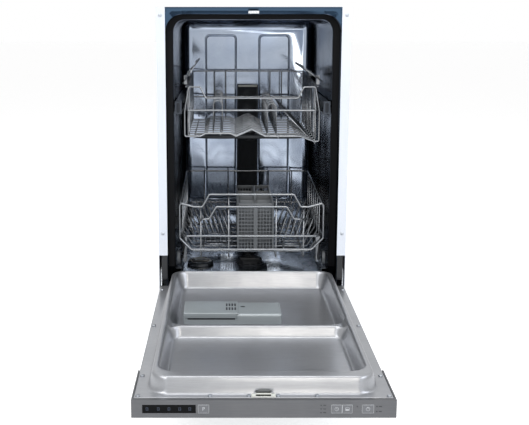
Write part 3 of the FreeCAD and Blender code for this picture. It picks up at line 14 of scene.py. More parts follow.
import bmesh
import bpy
import numpy as np
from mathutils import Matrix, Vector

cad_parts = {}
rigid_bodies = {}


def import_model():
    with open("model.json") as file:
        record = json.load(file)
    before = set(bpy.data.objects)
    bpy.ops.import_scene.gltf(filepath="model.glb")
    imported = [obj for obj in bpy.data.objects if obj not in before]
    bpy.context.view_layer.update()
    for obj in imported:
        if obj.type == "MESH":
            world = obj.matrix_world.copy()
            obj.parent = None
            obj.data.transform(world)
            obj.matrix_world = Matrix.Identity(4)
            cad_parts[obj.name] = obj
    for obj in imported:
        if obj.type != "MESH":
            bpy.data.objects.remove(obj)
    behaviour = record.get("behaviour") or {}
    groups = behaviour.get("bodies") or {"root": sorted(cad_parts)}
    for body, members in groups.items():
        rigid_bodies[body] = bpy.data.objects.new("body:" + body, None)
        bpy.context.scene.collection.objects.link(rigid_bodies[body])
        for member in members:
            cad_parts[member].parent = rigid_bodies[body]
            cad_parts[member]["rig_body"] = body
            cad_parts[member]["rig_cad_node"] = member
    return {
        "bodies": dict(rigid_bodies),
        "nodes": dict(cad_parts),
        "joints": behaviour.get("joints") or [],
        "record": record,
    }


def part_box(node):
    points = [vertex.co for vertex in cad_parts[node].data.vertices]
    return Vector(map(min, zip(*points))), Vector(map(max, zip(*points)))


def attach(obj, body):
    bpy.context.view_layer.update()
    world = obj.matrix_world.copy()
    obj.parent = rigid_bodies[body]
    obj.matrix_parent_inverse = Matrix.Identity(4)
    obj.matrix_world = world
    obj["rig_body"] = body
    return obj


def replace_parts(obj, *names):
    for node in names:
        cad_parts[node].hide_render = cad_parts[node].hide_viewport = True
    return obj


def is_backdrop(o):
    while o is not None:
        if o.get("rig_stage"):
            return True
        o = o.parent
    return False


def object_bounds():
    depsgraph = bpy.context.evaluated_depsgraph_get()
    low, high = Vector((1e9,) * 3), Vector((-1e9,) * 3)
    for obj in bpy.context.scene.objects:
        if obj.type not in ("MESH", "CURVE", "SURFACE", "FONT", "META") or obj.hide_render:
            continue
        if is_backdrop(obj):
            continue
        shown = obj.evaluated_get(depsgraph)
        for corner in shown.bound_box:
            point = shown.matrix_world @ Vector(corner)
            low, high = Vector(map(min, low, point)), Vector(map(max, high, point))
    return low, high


log = logging.getLogger("dishwasher")
Array = np.ndarray

MM = 0.001
WELD = 1e-6  # metres within which points of a new piece are one point
SKIN_WELD = 2e-6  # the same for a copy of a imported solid
SHARP = 35.0  # degrees of fold above which an edge of a new piece stays sharp
FACING = 0.9  # least part of a normal along an axis for a face that looks that way
NEAR_CORNER = (0.8, 0.2)  # shares of a corner and of the middle in a test point of a face
SCRATCH_LENGTH = 60  # a brushed scratch's length over its width
SMEARS_PER_METRE = 14.0  # a smear is about a hand's width across
FINE_SHARE = 0.65  # share of the fine pattern in a colour; the smears have the rest
COAT_ROUGHNESS = 0.08
LEAST_ROUGHNESS = 0.03


# ------------------------------------------------------------------------------------------------
# finishes
# ------------------------------------------------------------------------------------------------
def linear(code: str) -> tuple[float, float, float, float]:
    """Turn an sRGB hex value into linear colour.

    Args:
        code: colour such as "#a0a4a8".

    Returns:
        Linear red, green, blue and an alpha of 1.
    """
    parts = np.array([int(code[i:i + 2], 16) for i in (1, 3, 5)]) / 255
    light = np.where(parts <= 0.04045, parts / 12.92, ((parts + 0.055) / 1.055) ** 2.4)
    return (*light.tolist(), 1.0)


def add(tree: bpy.types.NodeTree, kind: str, feeds: dict | None = None,
        **settings: str) -> bpy.types.Node:
    """Add one shader node with its settings and links.

    Args:
        tree: node tree that gets the node.
        kind: the node's type, without its ShaderNode prefix.
        feeds: socket name or number to a constant or to another node's output.
        **settings: the node's own properties.

    Returns:
        The new node.
    """
    node = tree.nodes.new("ShaderNode" + kind)
    for name, value in settings.items():
        setattr(node, name, value)
    for socket, value in (feeds or {}).items():
        if isinstance(value, bpy.types.NodeSocket):
            tree.links.new(value, node.inputs[socket])
        else:
            node.inputs[socket].default_value = value
    return node


def seen(tree: bpy.types.NodeTree) -> bpy.types.NodeSocket:
    """Tell rays that see the background from rays that light the object.

    Args:
        tree: node tree that gets the nodes.

    Returns:
        A socket that is 1 for what the camera sees straight, mirrored or through glass.
    """
    path = add(tree, "LightPath").outputs
    either = add(tree, "Math", {0: path["Is Camera Ray"], 1: path["Is Glossy Ray"]},
                 operation="MAXIMUM")
    return add(tree, "Math", {0: either.outputs[0], 1: path["Is Transmission Ray"]},
               operation="MAXIMUM").outputs[0]


class Surface(Enum):
    """How a surface was made, which settles its pattern."""

    MOULDED = "spark-eroded grain of an injection mould"
    BRUSHED_X = "long fine scratches along X"
    BRUSHED_Y = "long fine scratches along Y"
    ROLLED = "bright rolled sheet, faintly wavy"
    SPANGLED = "zinc crystals of hot-dip galvanising"
    ENAMELLED = "baked enamel with orange peel"
    FELTED = "pressed fibres"
    ETCHED = "copper tracks under solder mask"


@dataclass(frozen=True)
class Finish:
    """One real material and how its surface was made.

    Args:
        name: common name of the material.
        colour: sRGB hex of the clean surface.
        shade: sRGB hex that the pattern blends towards.
        surface: how the surface was made.
        grain: real size of the pattern in millimetres.
        relief: height of the pattern in millimetres.
        roughness: mean roughness.
        spread: how far the pattern moves the roughness either way.
        metallic: 1 for bare metal.
        ior: index of refraction of a non-metal.
        coat: weight of a clear top coat.
        gloss: strength of a non-metal's mirror reflection, 0.5 for a clean one.
        zones: places painted darker, as a painted dark reflection: axis number, metres from the
            middle where a zone starts and where it is full, and its sRGB hex.
        drawn: how far brushing draws the highlights out along Y.
    """

    name: str
    colour: str
    shade: str
    surface: Surface
    grain: float
    relief: float
    roughness: float
    spread: float = 0.05
    metallic: float = 0.0
    ior: float = 1.5
    coat: float = 0.0
    gloss: float = 0.5
    zones: tuple[tuple[int, float, float, str], ...] = ()
    drawn: float = 0.0

    def stretch(self) -> tuple[float, float, float]:
        """Work out how fine the pattern is each way.

        Returns:
            Pattern repeats per metre along X, Y and Z.
        """
        across = 1 / MM / self.grain
        along = across / SCRATCH_LENGTH
        if self.surface is Surface.BRUSHED_X:
            return along, across, across
        if self.surface is Surface.BRUSHED_Y:
            return across, along, across
        return across, across, across

    def pattern(self, tree: bpy.types.NodeTree) -> bpy.types.NodeSocket:
        """Build the pattern that drives colour, roughness and relief.

        Args:
            tree: the material's node tree.

        Returns:
            A socket with values from 0 to 1.
        """
        place = add(tree, "TexCoord").outputs["Object"]
        spread = add(tree, "Mapping", {"Vector": place, "Scale": self.stretch()}).outputs["Vector"]
        if self.surface is Surface.SPANGLED:
            cells = add(tree, "TexVoronoi", {"Vector": spread, "Scale": 1.0, "Randomness": 1.0})
            return add(tree, "SeparateColor", {"Color": cells.outputs["Color"]}).outputs[0]
        if self.surface is Surface.ETCHED:
            tracks = add(tree, "TexBrick", {"Vector": spread, "Scale": 1.0, "Mortar Size": 0.12,
                                            "Color1": (0, 0, 0, 1), "Color2": (0.35, 0.35, 0.35, 1),
                                            "Mortar": (1, 1, 1, 1)})
            return tracks.outputs["Color"]
        detail = 1.0 if self.surface is Surface.ROLLED else 3.0
        noise = add(tree, "TexNoise", {"Vector": spread, "Scale": 1.0, "Detail": detail,
                                       "Roughness": 0.55})
        return add(tree, "MapRange", {"Value": noise.outputs["Fac"], "From Min": 0.3,
                                      "From Max": 0.7}).outputs["Result"]

    def smears(self, tree: bpy.types.NodeTree) -> bpy.types.NodeSocket:
        """Slow patches a hand's width across: dried water on steel, handling on plastic.

        Args:
            tree: the material's node tree.

        Returns:
            A socket with values from 0 to 1.
        """
        place = add(tree, "TexCoord").outputs["Object"]
        noise = add(tree, "TexNoise", {"Vector": place, "Scale": SMEARS_PER_METRE,
                                       "Detail": 4.0, "Roughness": 0.6, "Distortion": 0.4})
        return add(tree, "MapRange", {"Value": noise.outputs["Fac"], "From Min": 0.35,
                                      "From Max": 0.65}).outputs["Result"]

    def darken(self, tree: bpy.types.NodeTree, colour: bpy.types.NodeSocket,
               zone: tuple[int, float, float, str]) -> bpy.types.NodeSocket:
        """Blend in a zone's painted dark reflection by the distance from the middle along its axis.

        Args:
            tree: the material's node tree.
            colour: the colour outside the zone.
            zone: one row of zones.

        Returns:
            The colour with the zone.
        """
        axis, start, full, shade = zone
        place = add(tree, "SeparateXYZ", {0: add(tree, "TexCoord").outputs["Object"]})
        reach = add(tree, "Math", {0: place.outputs[axis]}, operation="ABSOLUTE").outputs[0]
        share = add(tree, "MapRange", {"Value": reach, "From Min": start, "From Max": full})
        return add(tree, "Mix", {0: share.outputs["Result"], 6: colour, 7: linear(shade)},
                   data_type="RGBA").outputs[2]

    def make(self) -> bpy.types.Material:
        """Build the material, unless it was built before.

        Returns:
            The material.
        """
        known = bpy.data.materials.get(self.name)
        if known:
            return known
        material = bpy.data.materials.new(self.name)
        material.use_nodes = True
        tree = material.node_tree
        tree.nodes.clear()
        fine, slow = self.pattern(tree), self.smears(tree)
        both = add(tree, "Math", {0: fine, 1: FINE_SHARE}, operation="MULTIPLY").outputs[0]
        both = add(tree, "Math", {0: slow, 1: 1 - FINE_SHARE, 2: both},
                   operation="MULTIPLY_ADD").outputs[0]
        colour = add(tree, "Mix", {0: both, 6: linear(self.colour), 7: linear(self.shade)},
                     data_type="RGBA").outputs[2]
        # the zones paint darker colours that stand in for dark reflections
        for zone in self.zones:
            colour = self.darken(tree, colour, zone)
        rough = add(tree, "MapRange", {"Value": both,
                                       "To Min": max(self.roughness - self.spread,
                                                     LEAST_ROUGHNESS),
                                       "To Max": min(self.roughness + self.spread, 1.0)})
        relief = add(tree, "Bump", {"Height": fine, "Strength": 1.0,
                                    "Distance": self.relief * MM}).outputs["Normal"]
        shader = add(tree, "BsdfPrincipled", {"Base Color": colour, "Normal": relief,
                                              "Roughness": rough.outputs["Result"],
                                              "Metallic": self.metallic, "Coat Weight": self.coat,
                                              "Coat Roughness": COAT_ROUGHNESS,
                                              "Specular IOR Level": self.gloss,
                                              "Anisotropic": self.drawn,
                                              **({} if self.metallic else {"IOR": self.ior})})
        if self.drawn:
            along = add(tree, "CombineXYZ", {"Y": 1.0}).outputs[0]
            turned = add(tree, "VectorTransform", {0: along}, vector_type="VECTOR",
                         convert_from="OBJECT", convert_to="WORLD").outputs[0]
            tree.links.new(turned, shader.inputs["Tangent"])
        add(tree, "OutputMaterial", {"Surface": shader.outputs[0]})
        return material


# baked enamel on the side panels: cool white, glossy, with orange peel 3 mm across
ENAMEL = Finish("Baked enamel", "#eef3fb", "#e2eaf6", Surface.ENAMELLED, 3, 0.01, 0.28, 0.04,
                coat=0.3)
# hot-dip galvanised sheet: crystals a fingertip wide, dull and cool
ZINC_SHEET = Finish("Galvanised steel", "#a9aeb3", "#959aa0", Surface.SPANGLED, 8, 0.004, 0.44,
                    0.08, 1.0)
# bright rolled stainless steel of the tub: mirror-like, and the sheet is never quite flat
# painted dark reflection: the zones darken the side walls and the band over the mouth
TUB_STEEL = Finish("Bright stainless steel", "#aab4c3", "#8e9aad", Surface.ROLLED, 90, 0.3, 0.13,
                   0.05, 1.0, zones=((0, 0.172, 0.182, "#2a2f37"), (1, 0.034, 0.031, "#3b4e62")))
# stainless steel of the tub floor, handled more, so a little duller
FLOOR_STEEL = Finish("Stainless steel floor", "#c3c9d1", "#8f969f", Surface.ROLLED, 45, 0.35, 0.24,
                     0.08, 1.0)
# satin stainless steel of the door liner: scratches across the door, 0.7 mm apart so that they
# show, which draw its highlights out along the door
LINER_STEEL = Finish("Satin stainless steel", "#a8aaae", "#94969a", Surface.BRUSHED_X, 0.7, 0.002,
                     0.33, 0.05, 1.0, drawn=0.8)
# brushed steel-look strip that carries the controls, darker than the liner
STRIP_STEEL = Finish("Brushed strip", "#68696c", "#5a5c5f", Surface.BRUSHED_X, 0.6, 0.002, 0.38,
                     0.05, 0.8)
# silver paint on the moulded button caps
BUTTON_PAINT = Finish("Silver paint on ABS", "#707276", "#67696d", Surface.MOULDED, 0.6, 0.004,
                      0.35, 0.04, 0.6)
# bright zinc plate on hinges, screws, latch and springs
ZINC_PLATE = Finish("Zinc plate", "#b9bdc2", "#9a9fa6", Surface.MOULDED, 2, 0.01, 0.28, 0.08, 1.0)
# rolled stainless slide rails, seen edge-on in the dark of the tub; colour painted dark as shade
RAIL_STEEL = Finish("Rail stainless steel", "#4b5058", "#3c4148", Surface.BRUSHED_Y, 1.0, 0.004,
                    0.3, 0.06, 1.0)
# nylon powder coat on the rack wires: silver-grey, semi-gloss, slightly pebbled
WIRE_NYLON = Finish("Nylon-coated wire", "#9da1a6", "#8b8f94", Surface.MOULDED, 1.2, 0.01, 0.24,
                    0.05, 0.75, 1.53, 0.15)
# nitrile rubber of the door seal: black, matt, with a dusty bloom
SEAL_RUBBER = Finish("Nitrile rubber", "#0b0c0e", "#131417", Surface.MOULDED, 0.9, 0.03, 0.75, 0.08,
                     ior=1.52, gloss=0.15)
# black polypropylene of ducts, arms and sump: moulded grain 0.7 mm across
BLACK_PP = Finish("Black polypropylene", "#1c1e21", "#26292d", Surface.MOULDED, 0.7, 0.02, 0.42,
                  0.07, ior=1.49)
# dark grey polypropylene of the base tray and the feet, coarser grain
BASE_PP = Finish("Dark grey polypropylene", "#2d3034", "#383c41", Surface.MOULDED, 1.4, 0.05, 0.55,
                 0.07, ior=1.49)
# mid grey polypropylene of the cutlery basket and the rack wheels
GREY_PP = Finish("Grey polypropylene", "#777b7f", "#6b6f73", Surface.MOULDED, 0.8, 0.02, 0.42, 0.06,
                 ior=1.49)
# natural polypropylene of the softener, the valve and the air-break tank: milky white
MILKY_PP = Finish("Natural polypropylene", "#d9dbd6", "#cdd0c9", Surface.MOULDED, 1.0, 0.02, 0.38,
                  0.06, ior=1.49)
# silver-painted moulding of the dispenser: green-grey in its own shadow
DISPENSER_PAINT = Finish("Silver-grey moulding", "#a3abae", "#989fa3", Surface.MOULDED, 0.6, 0.01,
                         0.36, 0.05, 0.3)
# smoked acrylic of the display, almost black
SMOKED_ACRYLIC = Finish("Smoked acrylic", "#040507", "#07090c", Surface.MOULDED, 30, 0.001, 0.08,
                        0.02, ior=1.49, gloss=0.1)
# mid-dark grey polyamide of the rail caps
CAP_PA = Finish("Grey polyamide", "#2b2f36", "#24282e", Surface.MOULDED, 0.8, 0.02, 0.6, 0.06,
                ior=1.53, gloss=0.25)
# glossy black polypropylene of the softener cap, wet-looking
GLOSS_PP = Finish("Glossy black polypropylene", "#15171a", "#1d2023", Surface.MOULDED, 1.5, 0.01,
                  0.16, 0.05, ior=1.49, coat=0.4)
# near-white polypropylene of the plugs in the front flange
PLUG_PP = Finish("White polypropylene", "#dfe6ee", "#d3dae3", Surface.MOULDED, 0.8, 0.01, 0.4, 0.05,
                 ior=1.49)
# bitumen felt on the tub and in the door: black-brown pressed fibres, matt
BITUMEN_FELT = Finish("Bitumen felt", "#232220", "#33312e", Surface.FELTED, 1.6, 0.25, 0.85, 0.06)
# glass-fibre circuit board: green solder mask over tracks 6 mm apart, coarse so that they show
CIRCUIT_BOARD = Finish("Circuit board", "#14532f", "#2c7a4a", Surface.ETCHED, 6, 0.02, 0.35, 0.05)
# pale ink of the symbols beside the buttons
PALE_INK = Finish("Pale printing ink", "#c9ccd0", "#bfc2c6", Surface.MOULDED, 0.8, 0.002, 0.5, 0.04)
# dark ink and unlit lamps, and painted shade in the dispenser lid's finger gap and slots
DARK_INK_AND_SHADE = Finish("Dark printing ink and painted shade", "#232427", "#2b2c30", Surface.MOULDED, 0.8, 0.002, 0.4, 0.04)
# dim blue-grey figures behind the smoked display
DISPLAY_INK = Finish("Unlit display figures", "#39465c", "#323e52", Surface.MOULDED, 0.8, 0.001,
                     0.3, 0.03)


# ------------------------------------------------------------------------------------------------
# meshes from arrays
# ------------------------------------------------------------------------------------------------
def strip_faces(rows: int, columns: int, start: int = 0) -> Array:
    """Quads between neighbouring points of a grid stored row by row.

    Args:
        rows: points along the first parameter.
        columns: points along the second parameter.
        start: number of the grid's first point.

    Returns:
        Point numbers, four per quad.
    """
    first = (np.arange(rows - 1)[:, None] * columns + np.arange(columns - 1)).ravel() + start
    return np.stack([first, first + 1, first + columns + 1, first + columns], axis=1)


def close_and_turn(mesh: bpy.types.Mesh, reach: float, turn: bool) -> None:
    """Join points that coincide, and turn the faces outwards if asked.

    Args:
        mesh: the mesh to mend.
        reach: metres within which points coincide.
        turn: whether the faces are turned outwards.
    """
    work = bmesh.new()
    work.from_mesh(mesh)
    bmesh.ops.remove_doubles(work, verts=work.verts, dist=reach)
    bmesh.ops.dissolve_degenerate(work, edges=work.edges, dist=reach / 4)
    if turn:
        bmesh.ops.recalc_face_normals(work, faces=work.faces)
    work.to_mesh(mesh)
    work.free()


def covered(points: Array, faces: Array) -> Array:
    """Whether each flat point lies in any of the flat triangles.

    Args:
        points: places in a plane, two numbers per point.
        faces: three corners per triangle, two numbers per corner.

    Returns:
        A flag per point, true where the point is on the same side of all three edges.
    """
    edge = np.roll(faces, -1, axis=1) - faces
    reach = points[:, None, None, :] - faces[None]
    side = edge[None, ..., 0] * reach[..., 1] - edge[None, ..., 1] * reach[..., 0]
    return ((side >= 0).all(-1) | (side <= 0).all(-1)).any(-1)


def drop_cuts(mesh: bpy.types.Mesh, cuts: tuple[tuple[int, float], ...]) -> None:
    """Remove the faces by which two solids of one sheet touch, in the planes where they meet.

    Args:
        mesh: a mesh of triangles.
        cuts: axis number and metres from the middle of each plane.
    """
    if not cuts:
        return
    spots = np.empty(len(mesh.vertices) * 3)
    mesh.vertices.foreach_get("co", spots)
    numbers = np.empty(len(mesh.loops), dtype=np.int32)
    mesh.loops.foreach_get("vertex_index", numbers)
    triangles = spots.reshape(-1, 3)[numbers].reshape(-1, 3, 3)
    normals = np.empty(len(mesh.polygons) * 3)
    mesh.polygons.foreach_get("normal", normals)
    normals = normals.reshape(-1, 3)
    inner = np.zeros(len(triangles), dtype=bool)
    for axis, place in cuts:
        rest = [k for k in range(3) if k != axis]
        for side in (-place, place):
            on = (np.abs(triangles[:, :, axis] - side) < SKIN_WELD).all(axis=1)
            for way in (-1, 1):
                ours = np.nonzero(on & (normals[:, axis] * way > FACING))[0]
                theirs = np.nonzero(on & (normals[:, axis] * way < -FACING))[0]
                if not len(ours) or not len(theirs):
                    continue
                flat = triangles[ours][:, :, rest]
                middle = flat.mean(axis=1, keepdims=True)
                corners = NEAR_CORNER[0] * flat + NEAR_CORNER[1] * middle
                tests = np.concatenate([middle, corners], axis=1)
                hits = covered(tests.reshape(-1, 2), triangles[theirs][:, :, rest])
                inner[ours[hits.reshape(-1, 4).all(axis=1)]] = True
    work = bmesh.new()
    work.from_mesh(mesh)
    work.faces.ensure_lookup_table()
    bmesh.ops.delete(work, geom=[work.faces[i] for i in np.nonzero(inner)[0].tolist()],
                     context="FACES")
    work.to_mesh(mesh)
    work.free()


@dataclass
class Workshop:
    """Makes pieces, sets them on their bodies and keeps count of them."""

    frame: dict

    def __post_init__(self) -> None:
        """Note each node's body and material slot."""
        record = self.frame["record"]
        self.slots = {row["node"]: row["material_slot"] for row in record["subparts"]}
        groups = record["behaviour"]["bodies"]
        self.bodies = {node: body for body, nodes in groups.items() for node in nodes}

    def settle(self, thing: bpy.types.Object, finish: Finish, like: str) -> bpy.types.Object:
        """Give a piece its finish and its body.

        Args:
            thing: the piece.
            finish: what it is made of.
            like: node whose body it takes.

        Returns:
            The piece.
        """
        thing.data.materials.clear()
        thing.data.materials.append(finish.make())
        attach(thing, self.bodies[like])
        log.info("%s rides on %s in %s", thing.name, self.bodies[like], finish.name)
        return thing

    def piece(self, name: str, points: Array, faces: Array, finish: Finish, like: str,
              sharp: float = SHARP, turn: bool = True) -> bpy.types.Object:
        """Make a piece from arrays.

        Args:
            name: the piece's name.
            points: places in millimetres, three per point.
            faces: point numbers, three or four per face.
            finish: what it is made of.
            like: node whose body it takes.
            sharp: edges that fold by more degrees than this stay sharp.
            turn: whether the faces are turned outwards, as on a closed form.

        Returns:
            The piece.
        """
        mesh = bpy.data.meshes.new(name)
        mesh.from_pydata((points * MM).tolist(), [], faces.tolist())
        close_and_turn(mesh, WELD, turn)
        mesh.shade_smooth()
        mesh.set_sharp_from_angle(angle=math.radians(sharp))
        thing = bpy.data.objects.new(name, mesh)
        bpy.context.scene.collection.objects.link(thing)
        return self.settle(thing, finish, like)

    def many(self, name: str, shapes: list[tuple[Array, Array]], finish: Finish, like: str,
             sharp: float = SHARP) -> bpy.types.Object:
        """Make one piece of several closed shapes.

        Args:
            name: the piece's name.
            shapes: points in millimetres and four-cornered faces of each shape.
            finish: what it is made of.
            like: node whose body it takes.
            sharp: edges that fold by more degrees than this stay sharp.

        Returns:
            The piece.
        """
        points = [spots for spots, _ in shapes]
        starts = np.cumsum([0] + [len(spots) for spots in points[:-1]])
        faces = [sides + start for (_, sides), start in zip(shapes, starts)]
        return self.piece(name, np.concatenate(points), np.concatenate(faces), finish, like, sharp)

    def instead(self, name: str, shapes: list[tuple[Array, Array]], finish: Finish, node: str,
                sharp: float = SHARP) -> None:
        """Make one piece of several closed shapes and let it stand in for a node."""
        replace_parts(self.many(name, shapes, finish, node, sharp), node)

    def dress(self, finish: Finish, *nodes: str) -> None:
        """Give nodes whose shape is right their finish.

        Args:
            finish: what they are made of.
            *nodes: the nodes.
        """
        for node in nodes:
            thing = self.frame["nodes"][node]
            thing.data.materials.clear()
            thing.data.materials.append(finish.make())
            log.info("%s keeps its shape in %s", node, finish.name)

    def smooth(self, finish: Finish, *nodes: str, sharp: float = 32.0,
               cuts: tuple[tuple[int, float], ...] = ()) -> None:
        """Stand in for curved nodes with copies whose points are joined and shaded smooth.

        Args:
            finish: what they are made of.
            *nodes: the nodes.
            sharp: edges that fold by more degrees than this stay sharp.
            cuts: axis number and metres from the middle of each plane where the node's solids
                meet, whose inner faces are left out.
        """
        for node in nodes:
            thing = self.frame["nodes"][node].copy()
            thing.data = thing.data.copy()
            thing.name = node + "_skin"
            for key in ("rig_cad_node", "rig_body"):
                del thing[key]
            thing.parent = None
            bpy.context.scene.collection.objects.link(thing)
            drop_cuts(thing.data, cuts)
            close_and_turn(thing.data, SKIN_WELD, False)
            thing.data.shade_smooth()
            thing.data.set_sharp_from_angle(angle=math.radians(sharp))
            self.settle(thing, finish, node)
            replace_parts(thing, node)

    def bounds(self, node: str) -> tuple[Array, Array]:
        """Lowest and highest corner of a node in millimetres."""
        low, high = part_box(node)
        return np.array(low) / MM, np.array(high) / MM

    def spindle(self, node: str) -> tuple[Array, float]:
        """Find the upright axis of a round node.

        Args:
            node: the node.

        Returns:
            The axis point at height 0, and the node's radius.
        """
        low, high = self.bounds(node)
        return (np.array([(low[0] + high[0]) / 2, (low[1] + high[1]) / 2, 0]),
                (high[0] - low[0]) / 2)


def ring(centre: tuple[float, float, float], radius: float, count: int, axis: int) -> Array:
    """Points evenly round a circle, without the first one again at its end.

    Args:
        centre: its middle.
        radius: its radius.
        count: number of points.
        axis: 0, 1 or 2 for a circle that faces along X, Y or Z.

    Returns:
        Three numbers per point.
    """
    angle = np.linspace(0, 2 * np.pi, count + 1)[:-1]
    first, second = (k for k in range(3) if k != axis)
    points = np.tile(np.array(centre, float), (count, 1))
    points[:, first] += radius * np.cos(angle)
    points[:, second] += radius * np.sin(angle)
    return points


def helix(centre: tuple[float, float, float], radius: float, turns: int, rise: float, count: int,
          axis: int) -> Array:
    """Points along a screw line: round a circle while the height grows evenly.

    Args:
        centre: the middle of its foot.
        radius: its radius.
        turns: number of turns.
        rise: its height.
        count: number of points.
        axis: 0, 1 or 2 for a screw along X, Y or Z.

    Returns:
        Three numbers per point.
    """
    share = np.linspace(0, 1, count)
    angle = share * 2 * np.pi * turns
    first, second = (k for k in range(3) if k != axis)
    points = np.tile(np.array(centre, float), (count, 1))
    points[:, first] += radius * np.cos(angle)
    points[:, second] += radius * np.sin(angle)
    points[:, axis] += share * rise
    return points


def flutes(count: int, depth: float, power: int) -> Array:
    """Factor on a cap's radius for hollows round its edge: a raised cosine to a power.

    Args:
        count: number of hollows.
        depth: share of the radius that a hollow takes.
        power: how narrow the hollows are.

    Returns:
        The factor at eight angles per hollow.
    """
    angle = np.linspace(0, 2 * np.pi, 8 * count + 1)[:-1]
    return 1 - depth * (0.5 + 0.5 * np.cos(angle * count)) ** power


def revolve(profile: Array, centre: Array, turns: int = 48, axis: int = 2,
            ripple: Array | None = None) -> tuple[Array, Array]:
    """A turned form: each profile point (radius, height) is carried round the axis.

    Args:
        profile: radius and height per row, from pole to pole for a closed form.
        centre: the axis point at height 0.
        turns: points round the axis.
        axis: 0, 1 or 2 for the axis along X, Y or Z.
        ripple: factor on the radius for each angle, for flutes and ribs.

    Returns:
        Points and faces.
    """
    angle = np.linspace(0, 2 * np.pi, turns + 1)
    factor = np.ones_like(angle) if ripple is None else np.append(ripple, ripple[0])
    radius = profile[:, :1] * factor
    ring = np.stack([radius * np.cos(angle), radius * np.sin(angle),
                     np.repeat(profile[:, 1:], turns + 1, axis=1)], axis=-1)
    ring = np.roll(ring, axis + 1, axis=-1)
    return ring.reshape(-1, 3) + centre, strip_faces(len(profile), turns + 1)


def tube(route: Array, radius: float, flat: tuple[float, float, float], sides: int = 10,
         closed: bool = False) -> tuple[Array, Array]:
    """A round wire: a circle carried along a route, square to it.

    Args:
        route: points of the centreline.
        radius: radius of the wire.
        flat: a direction that the route never runs along.
        sides: points round the circle.
        closed: whether the route joins its own start.

    Returns:
        Points and faces.
    """
    if closed:
        route = np.vstack([route, route[:1]])
        tangent = np.roll(route[:-1], -1, 0) - np.roll(route[:-1], 1, 0)
        tangent = np.vstack([tangent, tangent[:1]])
    else:
        tangent = np.gradient(route, axis=0)
    tangent = tangent / np.linalg.norm(tangent, axis=1, keepdims=True)
    across = np.cross(tangent, np.array(flat, float))
    across = across / np.linalg.norm(across, axis=1, keepdims=True)
    other = np.cross(tangent, across)
    angle = np.linspace(0, 2 * np.pi, sides + 1)
    ring = (across[:, None] * np.cos(angle)[None, :, None]
            + other[:, None] * np.sin(angle)[None, :, None]) * radius
    body = (route[:, None] + ring)
    if not closed:
        body = np.concatenate([np.repeat(route[:1, None], sides + 1, 1), body,
                               np.repeat(route[-1:, None], sides + 1, 1)])
    return body.reshape(-1, 3), strip_faces(len(body), sides + 1)


def cushion_box(low: Array, high: Array, soften: float, steps: int = 5) -> tuple[Array, Array]:
    """A moulded block: a sphere's points pushed out to the corners of a smaller box.

    Args:
        low: lowest corner.
        high: highest corner.
        soften: radius of every edge.
        steps: points per quarter turn.

    Returns:
        Points and faces.
    """
    low, high = np.asarray(low, float), np.asarray(high, float)
    soften = min(soften, float((high - low).min()) / 2 - 1e-3)
    quarter = np.linspace(0, np.pi / 2, steps)
    around = np.concatenate([quarter + k * np.pi / 2 for k in range(4)])
    up = np.concatenate([quarter - np.pi / 2, quarter])
    side = np.repeat([[1, 1], [-1, 1], [-1, -1], [1, -1]], steps, axis=0)
    lift = np.repeat([-1, 1], steps)
    middle, half = (low + high) / 2, (high - low) / 2 - soften
    x = middle[0] + half[0] * side[:, 0] + soften * np.outer(np.cos(up), np.cos(around))
    y = middle[1] + half[1] * side[:, 1] + soften * np.outer(np.cos(up), np.sin(around))
    z = middle[2] + (half[2] * lift + soften * np.sin(up))[:, None] + np.zeros_like(x)
    body = np.stack([x, y, z], axis=-1)
    body = np.concatenate([body, body[:, :1]], axis=1)
    columns = body.shape[1]
    poles = np.repeat(body[[0, -1]].mean(axis=1, keepdims=True), columns, axis=1)
    body = np.concatenate([poles[:1], body, poles[1:]])
    return body.reshape(-1, 3), strip_faces(len(body), columns)


def lattice(across: Array, up: Array, solid: Array, depth: tuple[float, float],
            axes: tuple[int, int, int]) -> tuple[Array, Array]:
    """A plate with rectangular holes, closed all round.

    Args:
        across: grid lines along the first direction.
        up: grid lines along the second direction.
        solid: which cells are filled.
        depth: near and far face along the third direction.
        axes: which of X, Y and Z the three directions are.

    Returns:
        Points and faces.
    """
    rows, columns = len(across), len(up)
    a, b = np.meshgrid(across, up, indexing="ij")
    local = [np.stack([a, b, np.full_like(a, d)], axis=-1).reshape(-1, 3) for d in depth]
    points = np.empty((2 * rows * columns, 3))
    points[:, list(axes)] = np.concatenate(local)
    number = np.arange(rows * columns).reshape(rows, columns)
    under = rows * columns
    i, j = np.nonzero(solid)
    face = np.stack([number[i, j], number[i + 1, j], number[i + 1, j + 1], number[i, j + 1]], 1)
    sides = [face, face[:, ::-1] + under]
    padded = np.pad(solid, 1)
    for di, dj, first, second in ((-1, 0, (0, 0), (0, 1)), (1, 0, (1, 1), (1, 0)),
                                  (0, -1, (1, 0), (0, 0)), (0, 1, (0, 1), (1, 1))):
        i, j = np.nonzero(solid & ~padded[1 + di:1 + di + solid.shape[0],
                                          1 + dj:1 + dj + solid.shape[1]])
        one = number[i + first[0], j + first[1]]
        two = number[i + second[0], j + second[1]]
        sides.append(np.stack([one, two, two + under, one + under], axis=1))
    return points, np.concatenate(sides)


def slotted(low: float, high: float, count: int, bar: float, edge: float) -> tuple[Array, Array]:
    """Grid lines of a row of equal slots between a border, and which cells are bars.

    Args:
        low: start of the row.
        high: end of the row.
        count: number of slots.
        bar: width of the bars between them.
        edge: width of the border.

    Returns:
        Grid lines, and a flag per cell that is true for a bar.
    """
    slot = (high - low - 2 * edge - (count - 1) * bar) / count
    widths = np.array([edge] + [slot, bar] * (count - 1) + [slot, edge])
    flags = np.arange(len(widths)) % 2 == 0
    return low + np.concatenate([[0], np.cumsum(widths)]), flags


